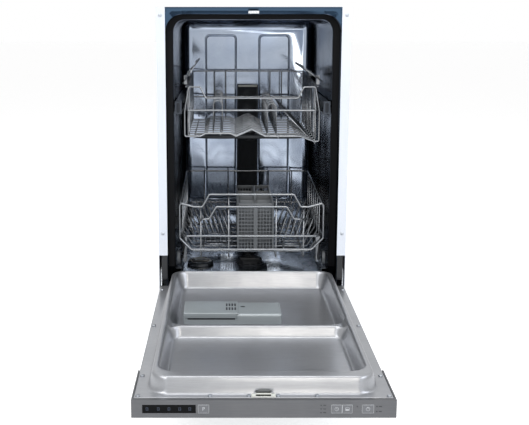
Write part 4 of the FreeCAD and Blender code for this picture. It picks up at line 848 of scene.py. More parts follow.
def ramp(depth: Array, run: float, crease: float) -> Array:
    """A straight slope from 0 to 1 over a run, with a rounded crease at its foot and its head.

    It is the softened positive part of the depth, less that of the depth beyond the run, over
    the run, where the positive part of d is half of d plus the root of d squared plus the crease
    squared.

    Args:
        depth: distance past the start of the slope.
        run: how long the slope is.
        crease: how far each crease is rounded.

    Returns:
        The height at each depth.
    """
    foot = (depth + np.sqrt(depth ** 2 + crease ** 2)) / 2
    head = (depth - run + np.sqrt((depth - run) ** 2 + crease ** 2)) / 2
    return (foot - head) / run


def inside_rounded(x: Array, y: Array, low: tuple[float, float], high: tuple[float, float],
                   radius: float) -> Array:
    """How far places are inside a rounded rectangle.

    The distance to its outline is that to the outline of the rectangle through the corners'
    centres, less the corners' radius.

    Args:
        x: places along the first direction.
        y: places along the second direction.
        low: lowest corner of the rectangle.
        high: highest corner of the rectangle.
        radius: radius of its corners.

    Returns:
        The distance at each place, positive inside and negative outside.
    """
    centre = ((low[0] + high[0]) / 2, (low[1] + high[1]) / 2)
    qx = np.abs(x - centre[0]) - (high[0] - low[0]) / 2 + radius
    qy = np.abs(y - centre[1]) - (high[1] - low[1]) / 2 + radius
    outside = np.hypot(np.maximum(qx, 0), np.maximum(qy, 0))
    return radius - outside - np.minimum(np.maximum(qx, qy), 0)


# ------------------------------------------------------------------------------------------------
# cabinet
# ------------------------------------------------------------------------------------------------
@dataclass
class Cabinet:
    """Side panels, rear panel, crossbars, base tray, feet and what hangs between them."""

    spring_radius: float = 3.9
    spring_wire: float = 0.9
    spring_turns: int = 23
    spring_inset: float = 5.0
    spring_end: float = 1.2
    screw_inset: float = 12.0
    screw_end: float = 25.0
    screws_a_side: int = 5
    mat_half: float = 189.5
    mat_top: float = 786.5
    mat_corner: float = 30.0
    mat_edge: float = 420.0
    mat_gauge: float = 1.6
    port_side: float = 150.0
    port_height: float = 58.0
    thread_radius: float = 12.5
    barb_radius: float = 9.6

    def build(self, shop: Workshop) -> None:
        """Dress the sheet metal and the mouldings, and add what the solids leave out.

        Args:
            shop: the workshop that makes the pieces.
        """
        shop.dress(ENAMEL, "side_panel_left", "side_panel_right")
        shop.dress(ZINC_SHEET, "rear_panel", "top_crossbars")
        shop.dress(BASE_PP, "base_tray")
        shop.smooth(BASE_PP, "front_foot_left", "front_foot_right", "rear_foot")
        shop.smooth(PLUG_PP, "flange_plugs")
        shop.dress(BLACK_PP, "hinge_covers")
        shop.smooth(ZINC_PLATE, "hinge_brackets")
        shop.dress(ZINC_PLATE, "latch_striker")
        shop.smooth(MILKY_PP, "inlet_valve")
        shop.smooth(BLACK_PP, "drain_pump", "circulation_pump")
        shop.dress(MILKY_PP, "air_break_tank", "water_softener")
        self.springs(shop)
        self.screws(shop)
        self.mat(shop)
        self.threads(shop)

    def springs(self, shop: Workshop) -> None:
        """Coil springs: a circle carried along a helix of close turns.

        Args:
            shop: the workshop that makes the pieces.
        """
        low, high = shop.bounds("door_springs")
        coils = []
        for side in (low[0] + self.spring_inset, high[0] - self.spring_inset):
            foot = (side, low[1] + self.spring_inset, low[2] + self.spring_end)
            rise = high[2] - low[2] - 2 * self.spring_end
            route = helix(foot, self.spring_radius, self.spring_turns, rise,
                          20 * self.spring_turns, 2)
            coils.append(tube(route, self.spring_wire, (0, 0, 1), 6))
        shop.instead("door_spring_coils", coils, ZINC_PLATE, "door_springs")

    def screws(self, shop: Workshop) -> None:
        """Domed screw heads round the rear panel: a half circle turned about its axis.

        Args:
            shop: the workshop that makes the pieces.
        """
        low, high = shop.bounds("rear_panel")
        dome = np.array([[0, 0], [4, 0], [3.9, -0.5], [3.0, -1.1], [1.6, -1.5], [0, -1.6]])
        dome[:, 1] += 0.8
        heads = [revolve(dome, np.array([x, high[1] - 0.85, z]), 20, axis=1)
                 for x in (low[0] + self.screw_inset, high[0] - self.screw_inset)
                 for z in np.linspace(low[2] + self.screw_end, high[2] - self.screw_end,
                                      self.screws_a_side)]
        shop.many("rear_panel_screws", heads, ZINC_PLATE, "rear_panel")

    def mat(self, shop: Workshop) -> None:
        """Bitumen mat laid over the tub: a sheet that follows the ceiling and falls at its sides.

        The sheet is an arc-cornered bridge in X carried straight back along Y.

        Args:
            shop: the workshop that makes the pieces.
        """
        low, high = shop.bounds("tub_shell")
        half, top, radius = self.mat_half, self.mat_top, self.mat_corner
        corner = np.linspace(0, np.pi / 2, 12)
        right = np.stack([half - radius + radius * np.sin(corner),
                          top - radius + radius * np.cos(corner)], axis=1)
        right = np.vstack([right, [[half, self.mat_edge]]])
        edge = np.vstack([right[::-1] * [-1, 1], right])
        outer = edge + np.where(np.abs(edge[:, :1]) > 1, np.sign(edge[:, :1]), 0) * [[
            self.mat_gauge, 0]]
        outer[:, 1] += np.where(edge[:, 1] > self.mat_edge + 80, self.mat_gauge, 0)
        back = np.linspace(low[1] + 70, high[1] - 30, 8)
        loop = np.vstack([edge, outer[::-1], edge[:1]])
        body = np.stack([np.column_stack([loop[:, 0], np.full(len(loop), y), loop[:, 1]])
                         for y in back])
        faces = strip_faces(len(body), body.shape[1])
        ring = len(edge)
        ends = []
        for start in (0, (len(body) - 1) * body.shape[1]):
            i = np.arange(ring - 1)
            ends.append(np.stack([start + i, start + i + 1, start + 2 * ring - 2 - i,
                                  start + 2 * ring - 1 - i], axis=1))
        shop.piece("tub_bitumen_mat", body.reshape(-1, 3), np.vstack([faces, *ends]),
                   BITUMEN_FELT, "tub_shell", sharp=50)

    def threads(self, shop: Workshop) -> None:
        """Screw thread of the water inlet and barbs of the drain spigot.

        Args:
            shop: the workshop that makes the pieces.
        """
        end = shop.bounds("inlet_valve")[1][1]
        route = helix((-self.port_side, end - 16, self.port_height), self.thread_radius, 7, 14.5,
                      300, 1)
        shop.many("inlet_thread", [tube(route, 0.65, (0, 1, 0), 6)], MILKY_PP, "inlet_valve")
        barbs = [tube(ring((self.port_side, end - back, self.port_height), self.barb_radius, 40, 1),
                      0.9, (0, 1, 0), 6, closed=True) for back in (2.5, 7.5, 12.5)]
        shop.many("drain_barbs", barbs, BLACK_PP, "drain_pump")


@dataclass
class Tub:
    """Stainless tub with its seal, spray duct, sump, filter and softener cap."""

    ribs: int = 36
    dock_heights: tuple[float, float] = (501.0, 572.0)
    dock_rings: tuple[tuple[float, float], ...] = ((18.6, 0.72), (13.0, 1.08), (7.5, 1.32))
    basket_reach: float = 31.5
    post: float = 1.3
    fine_bar: float = 2.0
    cuts: tuple[tuple[int, float], ...] = ((0, 0.158), (2, 0.755), (1, 0.064), (1, 0.482))

    def build(self, shop: Workshop) -> None:
        """Dress the tub and build the parts that are seen through the racks.

        Args:
            shop: the workshop that makes the pieces.
        """
        shop.smooth(TUB_STEEL, "tub_shell", sharp=40, cuts=self.cuts)
        shop.smooth(FLOOR_STEEL, "tub_floor")
        shop.smooth(SEAL_RUBBER, "tub_seal", sharp=50)
        shop.dress(FLOOR_STEEL, "filter_plate")
        shop.smooth(BLACK_PP, "sump")
        shop.smooth(BASE_PP, "spray_duct")
        self.docks(shop)
        self.filter(shop)
        self.salt_cap(shop)
        self.fine_filter(shop)

    def docks(self, shop: Workshop) -> None:
        """Ribbed sockets on the duct: nested rings, and the bright clip along its top.

        Args:
            shop: the workshop that makes the pieces.
        """
        low, high = shop.bounds("spray_duct")
        rings = [tube(ring((0, low[1] + 0.4, z), reach, 48, 1), thick, (0, 1, 0), 8, closed=True)
                 for z in self.dock_heights for reach, thick in self.dock_rings]
        shop.many("duct_dock_rings", rings, BASE_PP, "spray_duct")
        shop.many("duct_top_clip", [cushion_box([-27, low[1] + 1.5, high[2] - 6],
                                                [27, low[1] + 6, high[2] - 1], 1.5)],
                  MILKY_PP, "spray_duct")

    def filter(self, shop: Workshop) -> None:
        """Filter cylinder: a turned cup whose radius ripples round the axis, and its grip.

        Args:
            shop: the workshop that makes the pieces.
        """
        low, high = shop.bounds("filter_cylinder")
        centre, reach = shop.spindle("filter_cylinder")
        rim = reach - 0.1
        cup = np.array([[0, low[2]], [28, low[2]], [30, low[2] + 3], [30, 147.8], [rim, 148.6],
                        [rim, 150.4], [rim - 1.5, 151], [29.5, 151], [28.5, 149.5],
                        [28, low[2] + 4], [0, low[2] + 4]])
        ripple = 1 + 0.012 * np.sign(np.sin(np.linspace(0, 2 * np.pi, 181)[:-1] * self.ribs))
        shapes = [revolve(cup, centre, 180, ripple=ripple)]
        shapes.append(cushion_box([-26.5, centre[1] - 3.6, 138], [26.5, centre[1] + 3.6, high[2]],
                                  3))
        for x, y, _ in ring((0, centre[1], 0), self.basket_reach, 12, 2):
            shapes.append(cushion_box([x - self.post, y - self.post, 149.5],
                                      [x + self.post, y + self.post, 157.5], 0.8, 3))
        for z in (157.8, 154.0):
            shapes.append(tube(ring((0, centre[1], z), self.basket_reach, 72, 2), 1.1, (0, 0, 1),
                               8, closed=True))
        shop.instead("filter_cylinder_cup", shapes, BLACK_PP, "filter_cylinder")

    def salt_cap(self, shop: Workshop) -> None:
        """Softener cap: a turned lid with scalloped edge and a raised bar to turn it by.

        Args:
            shop: the workshop that makes the pieces.
        """
        low, high = shop.bounds("salt_cap")
        centre, reach = shop.spindle("salt_cap")
        top = high[2]
        lid = np.array([[28, low[2] + 1], [reach - 0.8, low[2]], [reach, low[2] + 1],
                        [reach, top - 5], [reach - 2.4, top - 3], [reach - 7, top - 2.6],
                        [reach - 9, top - 4.4], [0, top - 4.4]])
        lid = np.vstack([[[0, low[2] + 6]], [[28, low[2] + 6]], lid])
        bar = cushion_box([centre[0] - 24, centre[1] - 5, top - 6],
                          [centre[0] + 24, centre[1] + 5, top], 2.5)
        shop.instead("salt_cap_lid", [revolve(lid, centre, 192, ripple=flutes(24, 0.02, 4)), bar],
                     GLOSS_PP, "salt_cap")

    def fine_filter(self, shop: Workshop) -> None:
        """Perforated plate over the sump: square holes on a 5 mm grid, in four fields.

        Args:
            shop: the workshop that makes the pieces.
        """
        low, high = shop.bounds("filter_plate")
        fields = []
        for x in ((low[0] + 6, -42.0), (42.0, high[0] - 6)):
            for y in ((low[1] + 8, low[1] + 92), (low[1] + 100, high[1] - 8)):
                across, bars = slotted(x[0], x[1], 8, self.fine_bar, 3.0)
                along, ties = slotted(y[0], y[1], 15, self.fine_bar, 3.0)
                solid = bars[:, None] | ties[None, :]
                fields.append(lattice(across, along, solid, (high[2], high[2] + 0.5), (0, 1, 2)))
        shop.many("sump_filter_mesh", fields, FLOOR_STEEL, "filter_plate")


# ------------------------------------------------------------------------------------------------
# door
# ------------------------------------------------------------------------------------------------
@dataclass
class Door:
    """Pressed liner, outer panel, latch, hinges and screws."""

    fine: float = 1.6
    coarse: float = 6.0
    gauge: float = 0.8
    plug: float = 29.0
    plug_half: float = 199.0
    recess_half: float = 182.0
    deep: float = 40.0
    shallow: float = 32.0
    saddle: float = 10.0
    crease: float = 1.5
    lip: float = 8.5
    ridge: float = 288.5
    notch_x: float = 202.0
    notch_y: float = 24.0
    slot_half: float = 13.5

    def build(self, shop: Workshop) -> None:
        """Press the liner and dress the rest of the door.

        Args:
            shop: the workshop that makes the pieces.
        """
        self.liner(shop)
        shop.dress(ZINC_SHEET, "door_outer_panel")
        shop.dress(BITUMEN_FELT, "door_insulation")
        shop.smooth(ZINC_PLATE, "hinge_arms", "door_screws")
        shop.dress(BLACK_PP, "door_latch")
        shop.dress(ZINC_PLATE, "latch_claw")
        self.latch_ring(shop)

    def height(self, x: Array, y: Array, low: Array, high: Array) -> Array:
        """Height of the pressed sheet above its flange.

        The sheet is the flange, plus a plug that rises inside a rounded rectangle, less the
        deepest of the recesses and of the saddle in the ridge between them, where each edge is a
        straight slope with rounded creases over the distance inside its outline.

        Args:
            x: places across the door.
            y: places along the door.
            low: lowest corner of the liner.
            high: highest corner of the liner.

        Returns:
            Height above the flange at each place.
        """
        tip, far, half = low[1] - self.lip, high[1], self.recess_half
        ridge = low[1] + self.ridge
        plug = self.plug * ramp(inside_rounded(x, y, (-self.plug_half, tip + 23),
                                               (self.plug_half, far - 0.3), 36), 6, 1.2)
        sunk = np.zeros_like(x)
        for depth, start, stop, corner, run in (
                (self.deep, ridge, far - 11, 28, 14),
                (self.shallow, tip + 55, ridge - 2, 28, 13),
                (self.saddle, ridge - 30, ridge + 30, 12, 8)):
            inside = inside_rounded(x, y, (-half, start), (half, stop), corner)
            sunk = np.maximum(sunk, depth * ramp(inside, run, self.crease))
        return plug - np.minimum(sunk, self.deep)

    def lines(self, low: float, high: float, bands: tuple[tuple[float, float], ...]) -> Array:
        """Grid lines from end to end: fine in the bands where the sheet slopes, coarse elsewhere.

        Args:
            low: first line.
            high: last line.
            bands: start and stop of each band, with a line at both.

        Returns:
            The lines in order.
        """
        plain = np.linspace(low, high, int((high - low) / self.coarse))
        keep = np.ones(len(plain), bool)
        close = []
        for start, stop in bands:
            keep &= (plain < start - self.fine) | (plain > stop + self.fine)
            close.append(np.linspace(start, stop, int((stop - start) / self.fine)))
        return np.unique(np.concatenate([plain[keep], *close]))

    def liner(self, shop: Workshop) -> None:
        """The liner as a height field on a grid, thickened downwards to the sheet's gauge.

        Args:
            shop: the workshop that makes the pieces.
        """
        low, high = shop.bounds("door_liner")
        flange = high[2] - self.plug
        ridge = low[1] + self.ridge
        across = self.lines(low[0], high[0], ((low[0], -150), (150, high[0])))
        along = self.lines(low[1], high[1], ((low[1], low[1] + 75), (ridge - 36, ridge + 36),
                                             (high[1] - 40, high[1])))
        columns, rows = len(across), len(along)
        y, x = np.meshgrid(along, across, indexing="ij")
        z = flange + self.height(x, y, low, high)
        points = np.stack([x, y, z], axis=-1).reshape(-1, 3)
        faces = strip_faces(rows, columns)
        centre = points[faces].mean(axis=1)
        notch = (np.abs(centre[:, 0]) > self.notch_x) & (centre[:, 1] > self.notch_y)
        slot = (np.abs(centre[:, 0]) < self.slot_half) & (centre[:, 1] < low[1] + 14.5)
        slot &= centre[:, 1] > low[1] + 1
        faces = faces[~(notch | slot)]
        used = np.unique(faces)
        renumber = np.zeros(len(points), int)
        renumber[used] = np.arange(len(used))
        piece = shop.piece("door_liner_pressing", points[used], renumber[faces], LINER_STEEL,
                           "door_liner", sharp=60, turn=False)
        thick = piece.modifiers.new("sheet gauge", "SOLIDIFY")
        thick.thickness = self.gauge * MM
        thick.offset = -1
        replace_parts(piece, "door_liner")

    def latch_ring(self, shop: Workshop) -> None:
        """Light collar round the latch opening: a square frame with softened edges.

        Args:
            shop: the workshop that makes the pieces.
        """
        low, high = shop.bounds("door_liner")
        flange = high[2] - self.plug
        y0, y1, foot, top = low[1] + 1.0, low[1] + 15.5, flange - 0.5, flange + 2.2
        bars = [cushion_box([x0, start, foot], [x1, stop, top], soften, 3)
                for x0, x1, start, stop, soften in ((-21, -12.9, y0, y1, 1.2),
                                                    (12.9, 21, y0, y1, 1.2),
                                                    (-20, 20, y1 - 4.4, y1, 1.2),
                                                    (-20, 20, y0, y0 + 1.8, 0.8))]
        shop.many("latch_collar", bars, MILKY_PP, "door_latch")


@dataclass
class Controls:
    """The strip on the door's edge with its display, buttons, lamps and symbols."""

    buttons: tuple[str, ...] = ("programme_button", "delay_button", "half_load_button",
                                "start_button")
    margin: float = 0.25
    letter_x: float = -101.75
    letter_size: float = 9.0
    letter_lift: float = 0.1
    ring_radius: float = 3.1
    lone_lamp: tuple[float, float] = (157.5, 4.5)
    lamp_rows: tuple[tuple[float, float], ...] = ((96.5, 6.5), (96.5, 0.0), (96.5, -6.5),
                                                  (190.5, 4.5), (190.5, -4.5))
    figure_bars: tuple[tuple[float, float, float, float], ...] = (
        (0, 2.6, 1.6, 0.3), (0, 0, 1.6, 0.3), (0, -2.6, 1.6, 0.3), (-1.8, 1.3, 0.3, 1.1),
        (1.8, 1.3, 0.3, 1.1), (-1.8, -1.3, 0.3, 1.1), (1.8, -1.3, 0.3, 1.1))
    figure_places: tuple[float, ...] = (8.0, 27.0, 45.0, 63.0, 80.0)

    def build(self, shop: Workshop) -> None:
        """Dress the strip and print its symbols.

        Args:
            shop: the workshop that makes the pieces.
        """
        self.low, self.high = shop.bounds("control_panel")
        self.middle = (self.low[2] + self.high[2]) / 2
        shop.dress(STRIP_STEEL, "control_panel")
        shop.dress(SMOKED_ACRYLIC, "display_window")
        shop.dress(CIRCUIT_BOARD, "control_board")
        shop.smooth(BUTTON_PAINT, *self.buttons)
        self.symbols(shop)
        self.display(shop)
        self.lamps(shop)

    def face(self, shop: Workshop, like: str) -> tuple[float, float, float]:
        """Find the middle of a button's front.

        Args:
            shop: the workshop that makes the pieces.
            like: the button.

        Returns:
            Its place across the strip, its front and its height.
        """
        low, high = shop.bounds(like)
        return (low[0] + high[0]) / 2, low[1], (low[2] + high[2]) / 2

    def letter(self, shop: Workshop, text: str, x: float, z: float, like: str) -> None:
        """Raise a letter on a button: the flat text is made a mesh, then stood on its face.

        Args:
            shop: the workshop that makes the pieces.
            text: the letter.
            x: its middle across the strip.
            z: its middle height.
            like: the button.
        """
        curve = bpy.data.curves.new("mark", "FONT")
        curve.body, curve.size, curve.extrude = text, self.letter_size * MM, self.letter_lift * MM
        curve.align_x, curve.align_y = "CENTER", "CENTER"
        source = bpy.data.objects.new("mark", curve)
        bpy.context.scene.collection.objects.link(source)
        bpy.context.view_layer.update()
        mesh = bpy.data.meshes.new_from_object(source.evaluated_get(
            bpy.context.evaluated_depsgraph_get()))
        bpy.data.objects.remove(source)
        face = self.face(shop, like)[1]
        spots = np.empty(len(mesh.vertices) * 3)
        mesh.vertices.foreach_get("co", spots)
        spots = spots.reshape(-1, 3)
        stood = np.stack([spots[:, 0] + x * MM, face * MM - spots[:, 2] - 0.05 * MM,
                          spots[:, 1] + z * MM], axis=1)
        mesh.vertices.foreach_set("co", stood.ravel())
        thing = bpy.data.objects.new(like + "_mark", mesh)
        bpy.context.scene.collection.objects.link(thing)
        shop.settle(thing, PALE_INK, like)

    def outline(self, centre: tuple[float, float], half: tuple[float, float], face: float,
                line: float = 0.35) -> tuple[Array, Array]:
        """A printed frame: a thin wire carried round a rectangle.

        Args:
            centre: its middle across the strip and its middle height.
            half: half its width and half its height.
            face: place of the wire's middle.
            line: radius of the wire.

        Returns:
            Points and faces.
        """
        x, z = centre
        w, h = half
        corners = np.array([[x - w, z - h], [x + w, z - h], [x + w, z + h], [x - w, z + h]])
        t = np.linspace(0, 1, 7)[:-1, None]
        loop = np.vstack([a + (b - a) * t for a, b in zip(corners, np.roll(corners, -1, 0))])
        route = np.column_stack([loop[:, 0], np.full(len(loop), face), loop[:, 1]])
        return tube(route, line, (0, 1, 0), 4, closed=True)

    def symbols(self, shop: Workshop) -> None:
        """Frames round the buttons, the letter P, a clock, a half circle and a start mark.

        Args:
            shop: the workshop that makes the pieces.
        """
        frames = []
        for like in self.buttons:
            low, high = shop.bounds(like)
            half = (high - low) / 2 + self.margin
            x, _, z = self.face(shop, like)
            frames.append(self.outline((x, z), (half[0], half[2]), self.low[1] + 0.1, 0.45))
        shop.many("button_frames", frames, PALE_INK, "control_panel")
        self.letter(shop, "P", self.letter_x, self.middle, self.buttons[0])
        for like in self.buttons[1:]:
            x, front, z = self.face(shop, like)
            face = front - 0.05
            marks = []
            if like == "half_load_button":
                marks.append(self.outline((x, z), (3.2, 2.6), face, 0.3))
                marks.append(cushion_box([x - 2.8, face - 0.2, z - 2.2], [x + 2.8, face + 0.1, z],
                                         0.1, 2))
            else:
                marks.append(tube(ring((x, face, z), self.ring_radius, 24, 1), 0.32, (0, 1, 0), 4,
                                  closed=True))
                lift = 4.2 if like == "start_button" else 2.0
                marks.append(cushion_box([x - 0.35, face - 0.2, z],
                                         [x + 0.35, face + 0.1, z + lift], 0.1, 2))
            if like == "delay_button":
                marks.append(cushion_box([x, face - 0.2, z - 0.35],
                                         [x + 1.8, face + 0.1, z + 0.35], 0.1, 2))
            shop.many(like + "_mark", marks, PALE_INK, like)

    def display(self, shop: Workshop) -> None:
        """Unlit figures behind the window: seven bars each.

        Args:
            shop: the workshop that makes the pieces.
        """
        low = shop.bounds("display_window")[0]
        _, front, z = self.face(shop, "display_window")
        face = front - 0.05
        marks = []
        for place in self.figure_places:
            x = low[0] + place
            for dx, dz, w, h in self.figure_bars:
                marks.append(cushion_box([x + dx - w, face - 0.06, z + dz - h],
                                         [x + dx + w, face + 0.06, z + dz + h], 0.05, 2))
        shop.many("display_figures", marks, DISPLAY_INK, "display_window")

    def lamps(self, shop: Workshop) -> None:
        """Small lamps and dashes beside the buttons: turned domes and short bars.

        Args:
            shop: the workshop that makes the pieces.
        """
        face = self.low[1]
        dome = np.array([[0, -0.35], [0.9, -0.3], [1.3, 0.1], [0, 0.1]])
        spots = [*self.lamp_rows[:3], self.lone_lamp, *self.lamp_rows[3:]]
        lamps = [revolve(dome, np.array([x, face, self.middle + z]), 14, axis=1)
                 for x, z in spots]
        shop.many("strip_lamps", lamps, DARK_INK_AND_SHADE, "control_panel")
        dashes = [cushion_box([x + 3.5, face - 0.15, self.middle + z - 0.8],
                              [x + 8.5, face + 0.1, self.middle + z + 0.8], 0.12, 2)
                  for x, z in self.lamp_rows]
        shop.many("strip_dashes", dashes, DARK_INK_AND_SHADE, "control_panel")


@dataclass
class Dispenser:
    """Detergent and rinse-aid dispenser in the door's main recess."""

    soften: float = 5.0
    window: tuple[float, float] = (-27.0, 46.0)
    window_half: tuple[float, float] = (5.2, 3.4)
    tab_places: tuple[float, float] = (-112.0, -88.0)
    tab_width: float = 9.0
    slot_pitch: tuple[float, float] = (6.0, 24.0)

    def build(self, shop: Workshop) -> None:
        """Build the housing, the sliding lid and the rinse-aid cap.

        Args:
            shop: the workshop that makes the pieces.
        """
        low, high = shop.bounds("dispenser_housing")
        top = high[2]
        lid_low, lid_high = shop.bounds("detergent_lid")
        housing = [cushion_box([low[0], low[1], low[2] - self.soften], [high[0], high[1], top],
                               self.soften)]
        shop.instead("dispenser_body", housing, DISPENSER_PAINT, "dispenser_housing")
        lid = [cushion_box([lid_low[0], lid_low[1], lid_high[2] - 3], lid_high, 1.4, 4),
               cushion_box([lid_low[0] + 2, lid_low[1], lid_low[2]],
                           [lid_high[0] - 2, lid_low[1] + 2.6, lid_high[2]], 1.2, 4)]
        shop.instead("detergent_lid_moulding", lid, DISPENSER_PAINT, "detergent_lid")
        # a dark plate just behind the lid's lip: painted shade for the shadow in the finger gap
        gap_shade = cushion_box([lid_low[0] + 8, lid_low[1] + 2.7, top - 12],
                          [lid_high[0] - 6, lid_low[1] + 3.3, top - 5.6], 0.25, 2)
        shop.many("lid_finger_gap_shade", [gap_shade], DARK_INK_AND_SHADE, "dispenser_housing")
        # dark blocks on the lid's top: painted shade for the shadow in its slots
        slots = [cushion_box([lid_high[0] - 25.5 + x, lid_low[1] + 20 + y, lid_high[2] - 0.6],
                             [lid_high[0] - 22 + x, lid_low[1] + 36 + y, lid_high[2] + 0.15],
                             0.3, 3)
                 for x in self.slot_pitch[0] * np.arange(4)
                 for y in self.slot_pitch[1] * np.arange(2)]
        shop.many("lid_slot_shades", slots, DARK_INK_AND_SHADE, "detergent_lid")
        self.peephole(shop, low[1], top)
        self.cap(shop, top)
        tabs = [cushion_box([x, high[1] - 4, top - 4],
                            [x + self.tab_width, high[1] - 0.5, top + 1.8], 1.0, 3)
                for x in self.tab_places]
        shop.many("dispenser_tabs", tabs, MILKY_PP, "dispenser_housing")

    def peephole(self, shop: Workshop, edge: float, top: float) -> None:
        """Small oval window of the rinse aid: an ellipse closed by a fan from its middle.

        Args:
            shop: the workshop that makes the pieces.
            edge: the housing's edge nearest to the door's tip.
            top: the housing's top.
        """
        count = 40
        turn = np.linspace(0, 2 * np.pi, count + 1)[:-1]
        x, y = self.window[0], edge + self.window[1]
        oval = np.column_stack([x + self.window_half[0] * np.cos(turn),
                                y + self.window_half[1] * np.sin(turn),
                                np.full(count, top + 0.2)])
        i = np.arange(count)
        shop.piece("rinse_window", np.vstack([oval, [[x, y, top + 0.3]]]),
                   np.stack([i, (i + 1) % count, np.full(count, count)], axis=1), DARK_INK_AND_SHADE,
                   "dispenser_housing", turn=False)

    def cap(self, shop: Workshop, top: float) -> None:
        """Rinse-aid cap: a turned lid with a fluted edge and a raised grip.

        Args:
            shop: the workshop that makes the pieces.
            top: the housing's top.
        """
        centre, reach = shop.spindle("rinse_aid_cap")
        lid = np.array([[0, top - 11], [reach - 1, top - 11], [reach, top - 10], [reach, top - 1.2],
                        [reach - 0.8, top - 0.5], [reach - 3, top - 0.4], [reach - 4, top - 1.4],
                        [0, top - 1.4]])
        grip = cushion_box([centre[0] - 9, centre[1] - 2, top - 3],
                           [centre[0] + 9, centre[1] + 2, top - 0.35], 1)
        shop.instead("rinse_cap_lid", [revolve(lid, centre, 144, ripple=flutes(18, 0.02, 2)), grip],
                     DISPENSER_PAINT, "rinse_aid_cap")


# ------------------------------------------------------------------------------------------------
# racks and spray arms
# ------------------------------------------------------------------------------------------------
@dataclass
class Racks:
    """Wire racks with their wheels, rails, shelves and the cutlery basket."""

    wall: float = 2.4
    cap_length: float = 16.0
    cap_proud: float = 0.4
    cap_soften: float = 7.9
    slots_across: int = 11
    slots_along: int = 27
    slots_up: int = 12
    bar: float = 2.2
    border: float = 4.0
    rim: float = 4.0
    bow_height: float = 13.6
    bow_radius: float = 3.0

    def build(self, shop: Workshop) -> None:
        """Dress the wires and build the mouldings on them.

        Args:
            shop: the workshop that makes the pieces.
        """
        shop.smooth(WIRE_NYLON, "upper_rack_frame", "upper_rack_floor", "lower_rack_frame",
                    "lower_rack_floor", "cup_shelf_left", "cup_shelf_right", sharp=50)
        shop.smooth(GREY_PP, "lower_wheels_front", "lower_wheels_rear", "upper_rollers_front",
                    "upper_rollers_rear", "wall_rollers")
        shop.dress(RAIL_STEEL, "upper_slide_rails")
        self.rail_caps(shop)
        self.basket(shop)

    def rail_caps(self, shop: Workshop) -> None:
        """Rounded end caps on the slide rails.

        Args:
            shop: the workshop that makes the pieces.
        """
        low, high = shop.bounds("upper_slide_rails")
        proud, end = self.cap_proud, self.cap_length + self.cap_proud
        caps = [cushion_box([x0, low[1] - 0.8, low[2] - 1.5], [x1, low[1] + 15.2, high[2] + 1.5],
                            self.cap_soften, 8)
                for x0, x1 in ((low[0] - proud, low[0] + end), (high[0] - end, high[0] + proud))]
        shop.many("rail_end_caps", caps, CAP_PA, "upper_slide_rails")

    def basket(self, shop: Workshop) -> None:
        """Slotted cutlery basket: lattice walls round a lattice floor, ribs, rim and handle.

        Args:
            shop: the workshop that makes the pieces.
        """
        low, high = shop.bounds("cutlery_basket")
        top, wall, rim = high[2] - 14, self.wall, self.rim
        end = rim + 0.3
        up, rows = slotted(low[2], top - 5, self.slots_up, 2.0, self.border)
        shapes = []
        for along, inset, count, walls, axes in (
                (0, 0, self.slots_across, ((low[1], low[1] + wall), (high[1] - wall, high[1])),
                 (0, 2, 1)),
                (1, wall, self.slots_along, ((low[0], low[0] + wall), (high[0] - wall, high[0])),
                 (1, 2, 0))):
            across, bars = slotted(low[along] + inset, high[along] - inset, count, self.bar,
                                   self.border)
            if not inset:
                bars[len(bars) // 2] = True
            for depth in walls:
                shapes.append(lattice(across, up, bars[:, None] | rows[None, :], depth, axes))
        x_lines, x_bars = slotted(low[0] + wall, high[0] - wall, 9, 3.0, 2.0)
        y_lines, y_bars = slotted(low[1] + wall, high[1] - wall, 24, 3.0, 2.0)
        shapes.append(lattice(x_lines, y_lines, x_bars[:, None] | y_bars[None, :],
                              (low[2], low[2] + wall), (0, 1, 2)))
        for x in (low[0], high[0] - rim):
            shapes.append(cushion_box([x - 0.3, low[1] - 0.3, top - 6],
                                      [x + end, high[1] + 0.3, top], 1.2, 3))
        for y in (low[1], high[1] - rim):
            shapes.append(cushion_box([low[0], y - 0.3, top - 6], [high[0], y + end, top], 1.2, 3))
        step = (high[1] - low[1] - wall) / 4
        for k in (1, 2, 3):
            y = low[1] + k * step
            shapes.append(cushion_box([low[0] + 2, y, low[2] + 2],
                                      [high[0] - 2, y + wall, top - 4], 0.6, 3))
        middle = (low[0] + high[0]) / 2
        shapes.append(cushion_box([middle - 1.2, low[1] + 2, low[2] + 2],
                                  [middle + 1.2, high[1] - 2, top - 2], 0.6, 3))
        handle = np.linspace(0, np.pi, 40)
        reach = (high[1] - low[1] - 100) / 2
        centre = (low[1] + high[1]) / 2
        bow = np.stack([np.full(40, middle),
                        centre - (reach - self.bow_radius) * np.sign(np.cos(handle))
                        * np.abs(np.cos(handle)) ** 0.35,
                        top - 3 + self.bow_height * np.abs(np.sin(handle)) ** 0.5], axis=1)
        shapes.append(tube(bow, self.bow_radius, (1, 0, 0), 12))
        shop.instead("cutlery_basket_moulding", shapes, GREY_PP, "cutlery_basket", sharp=30)


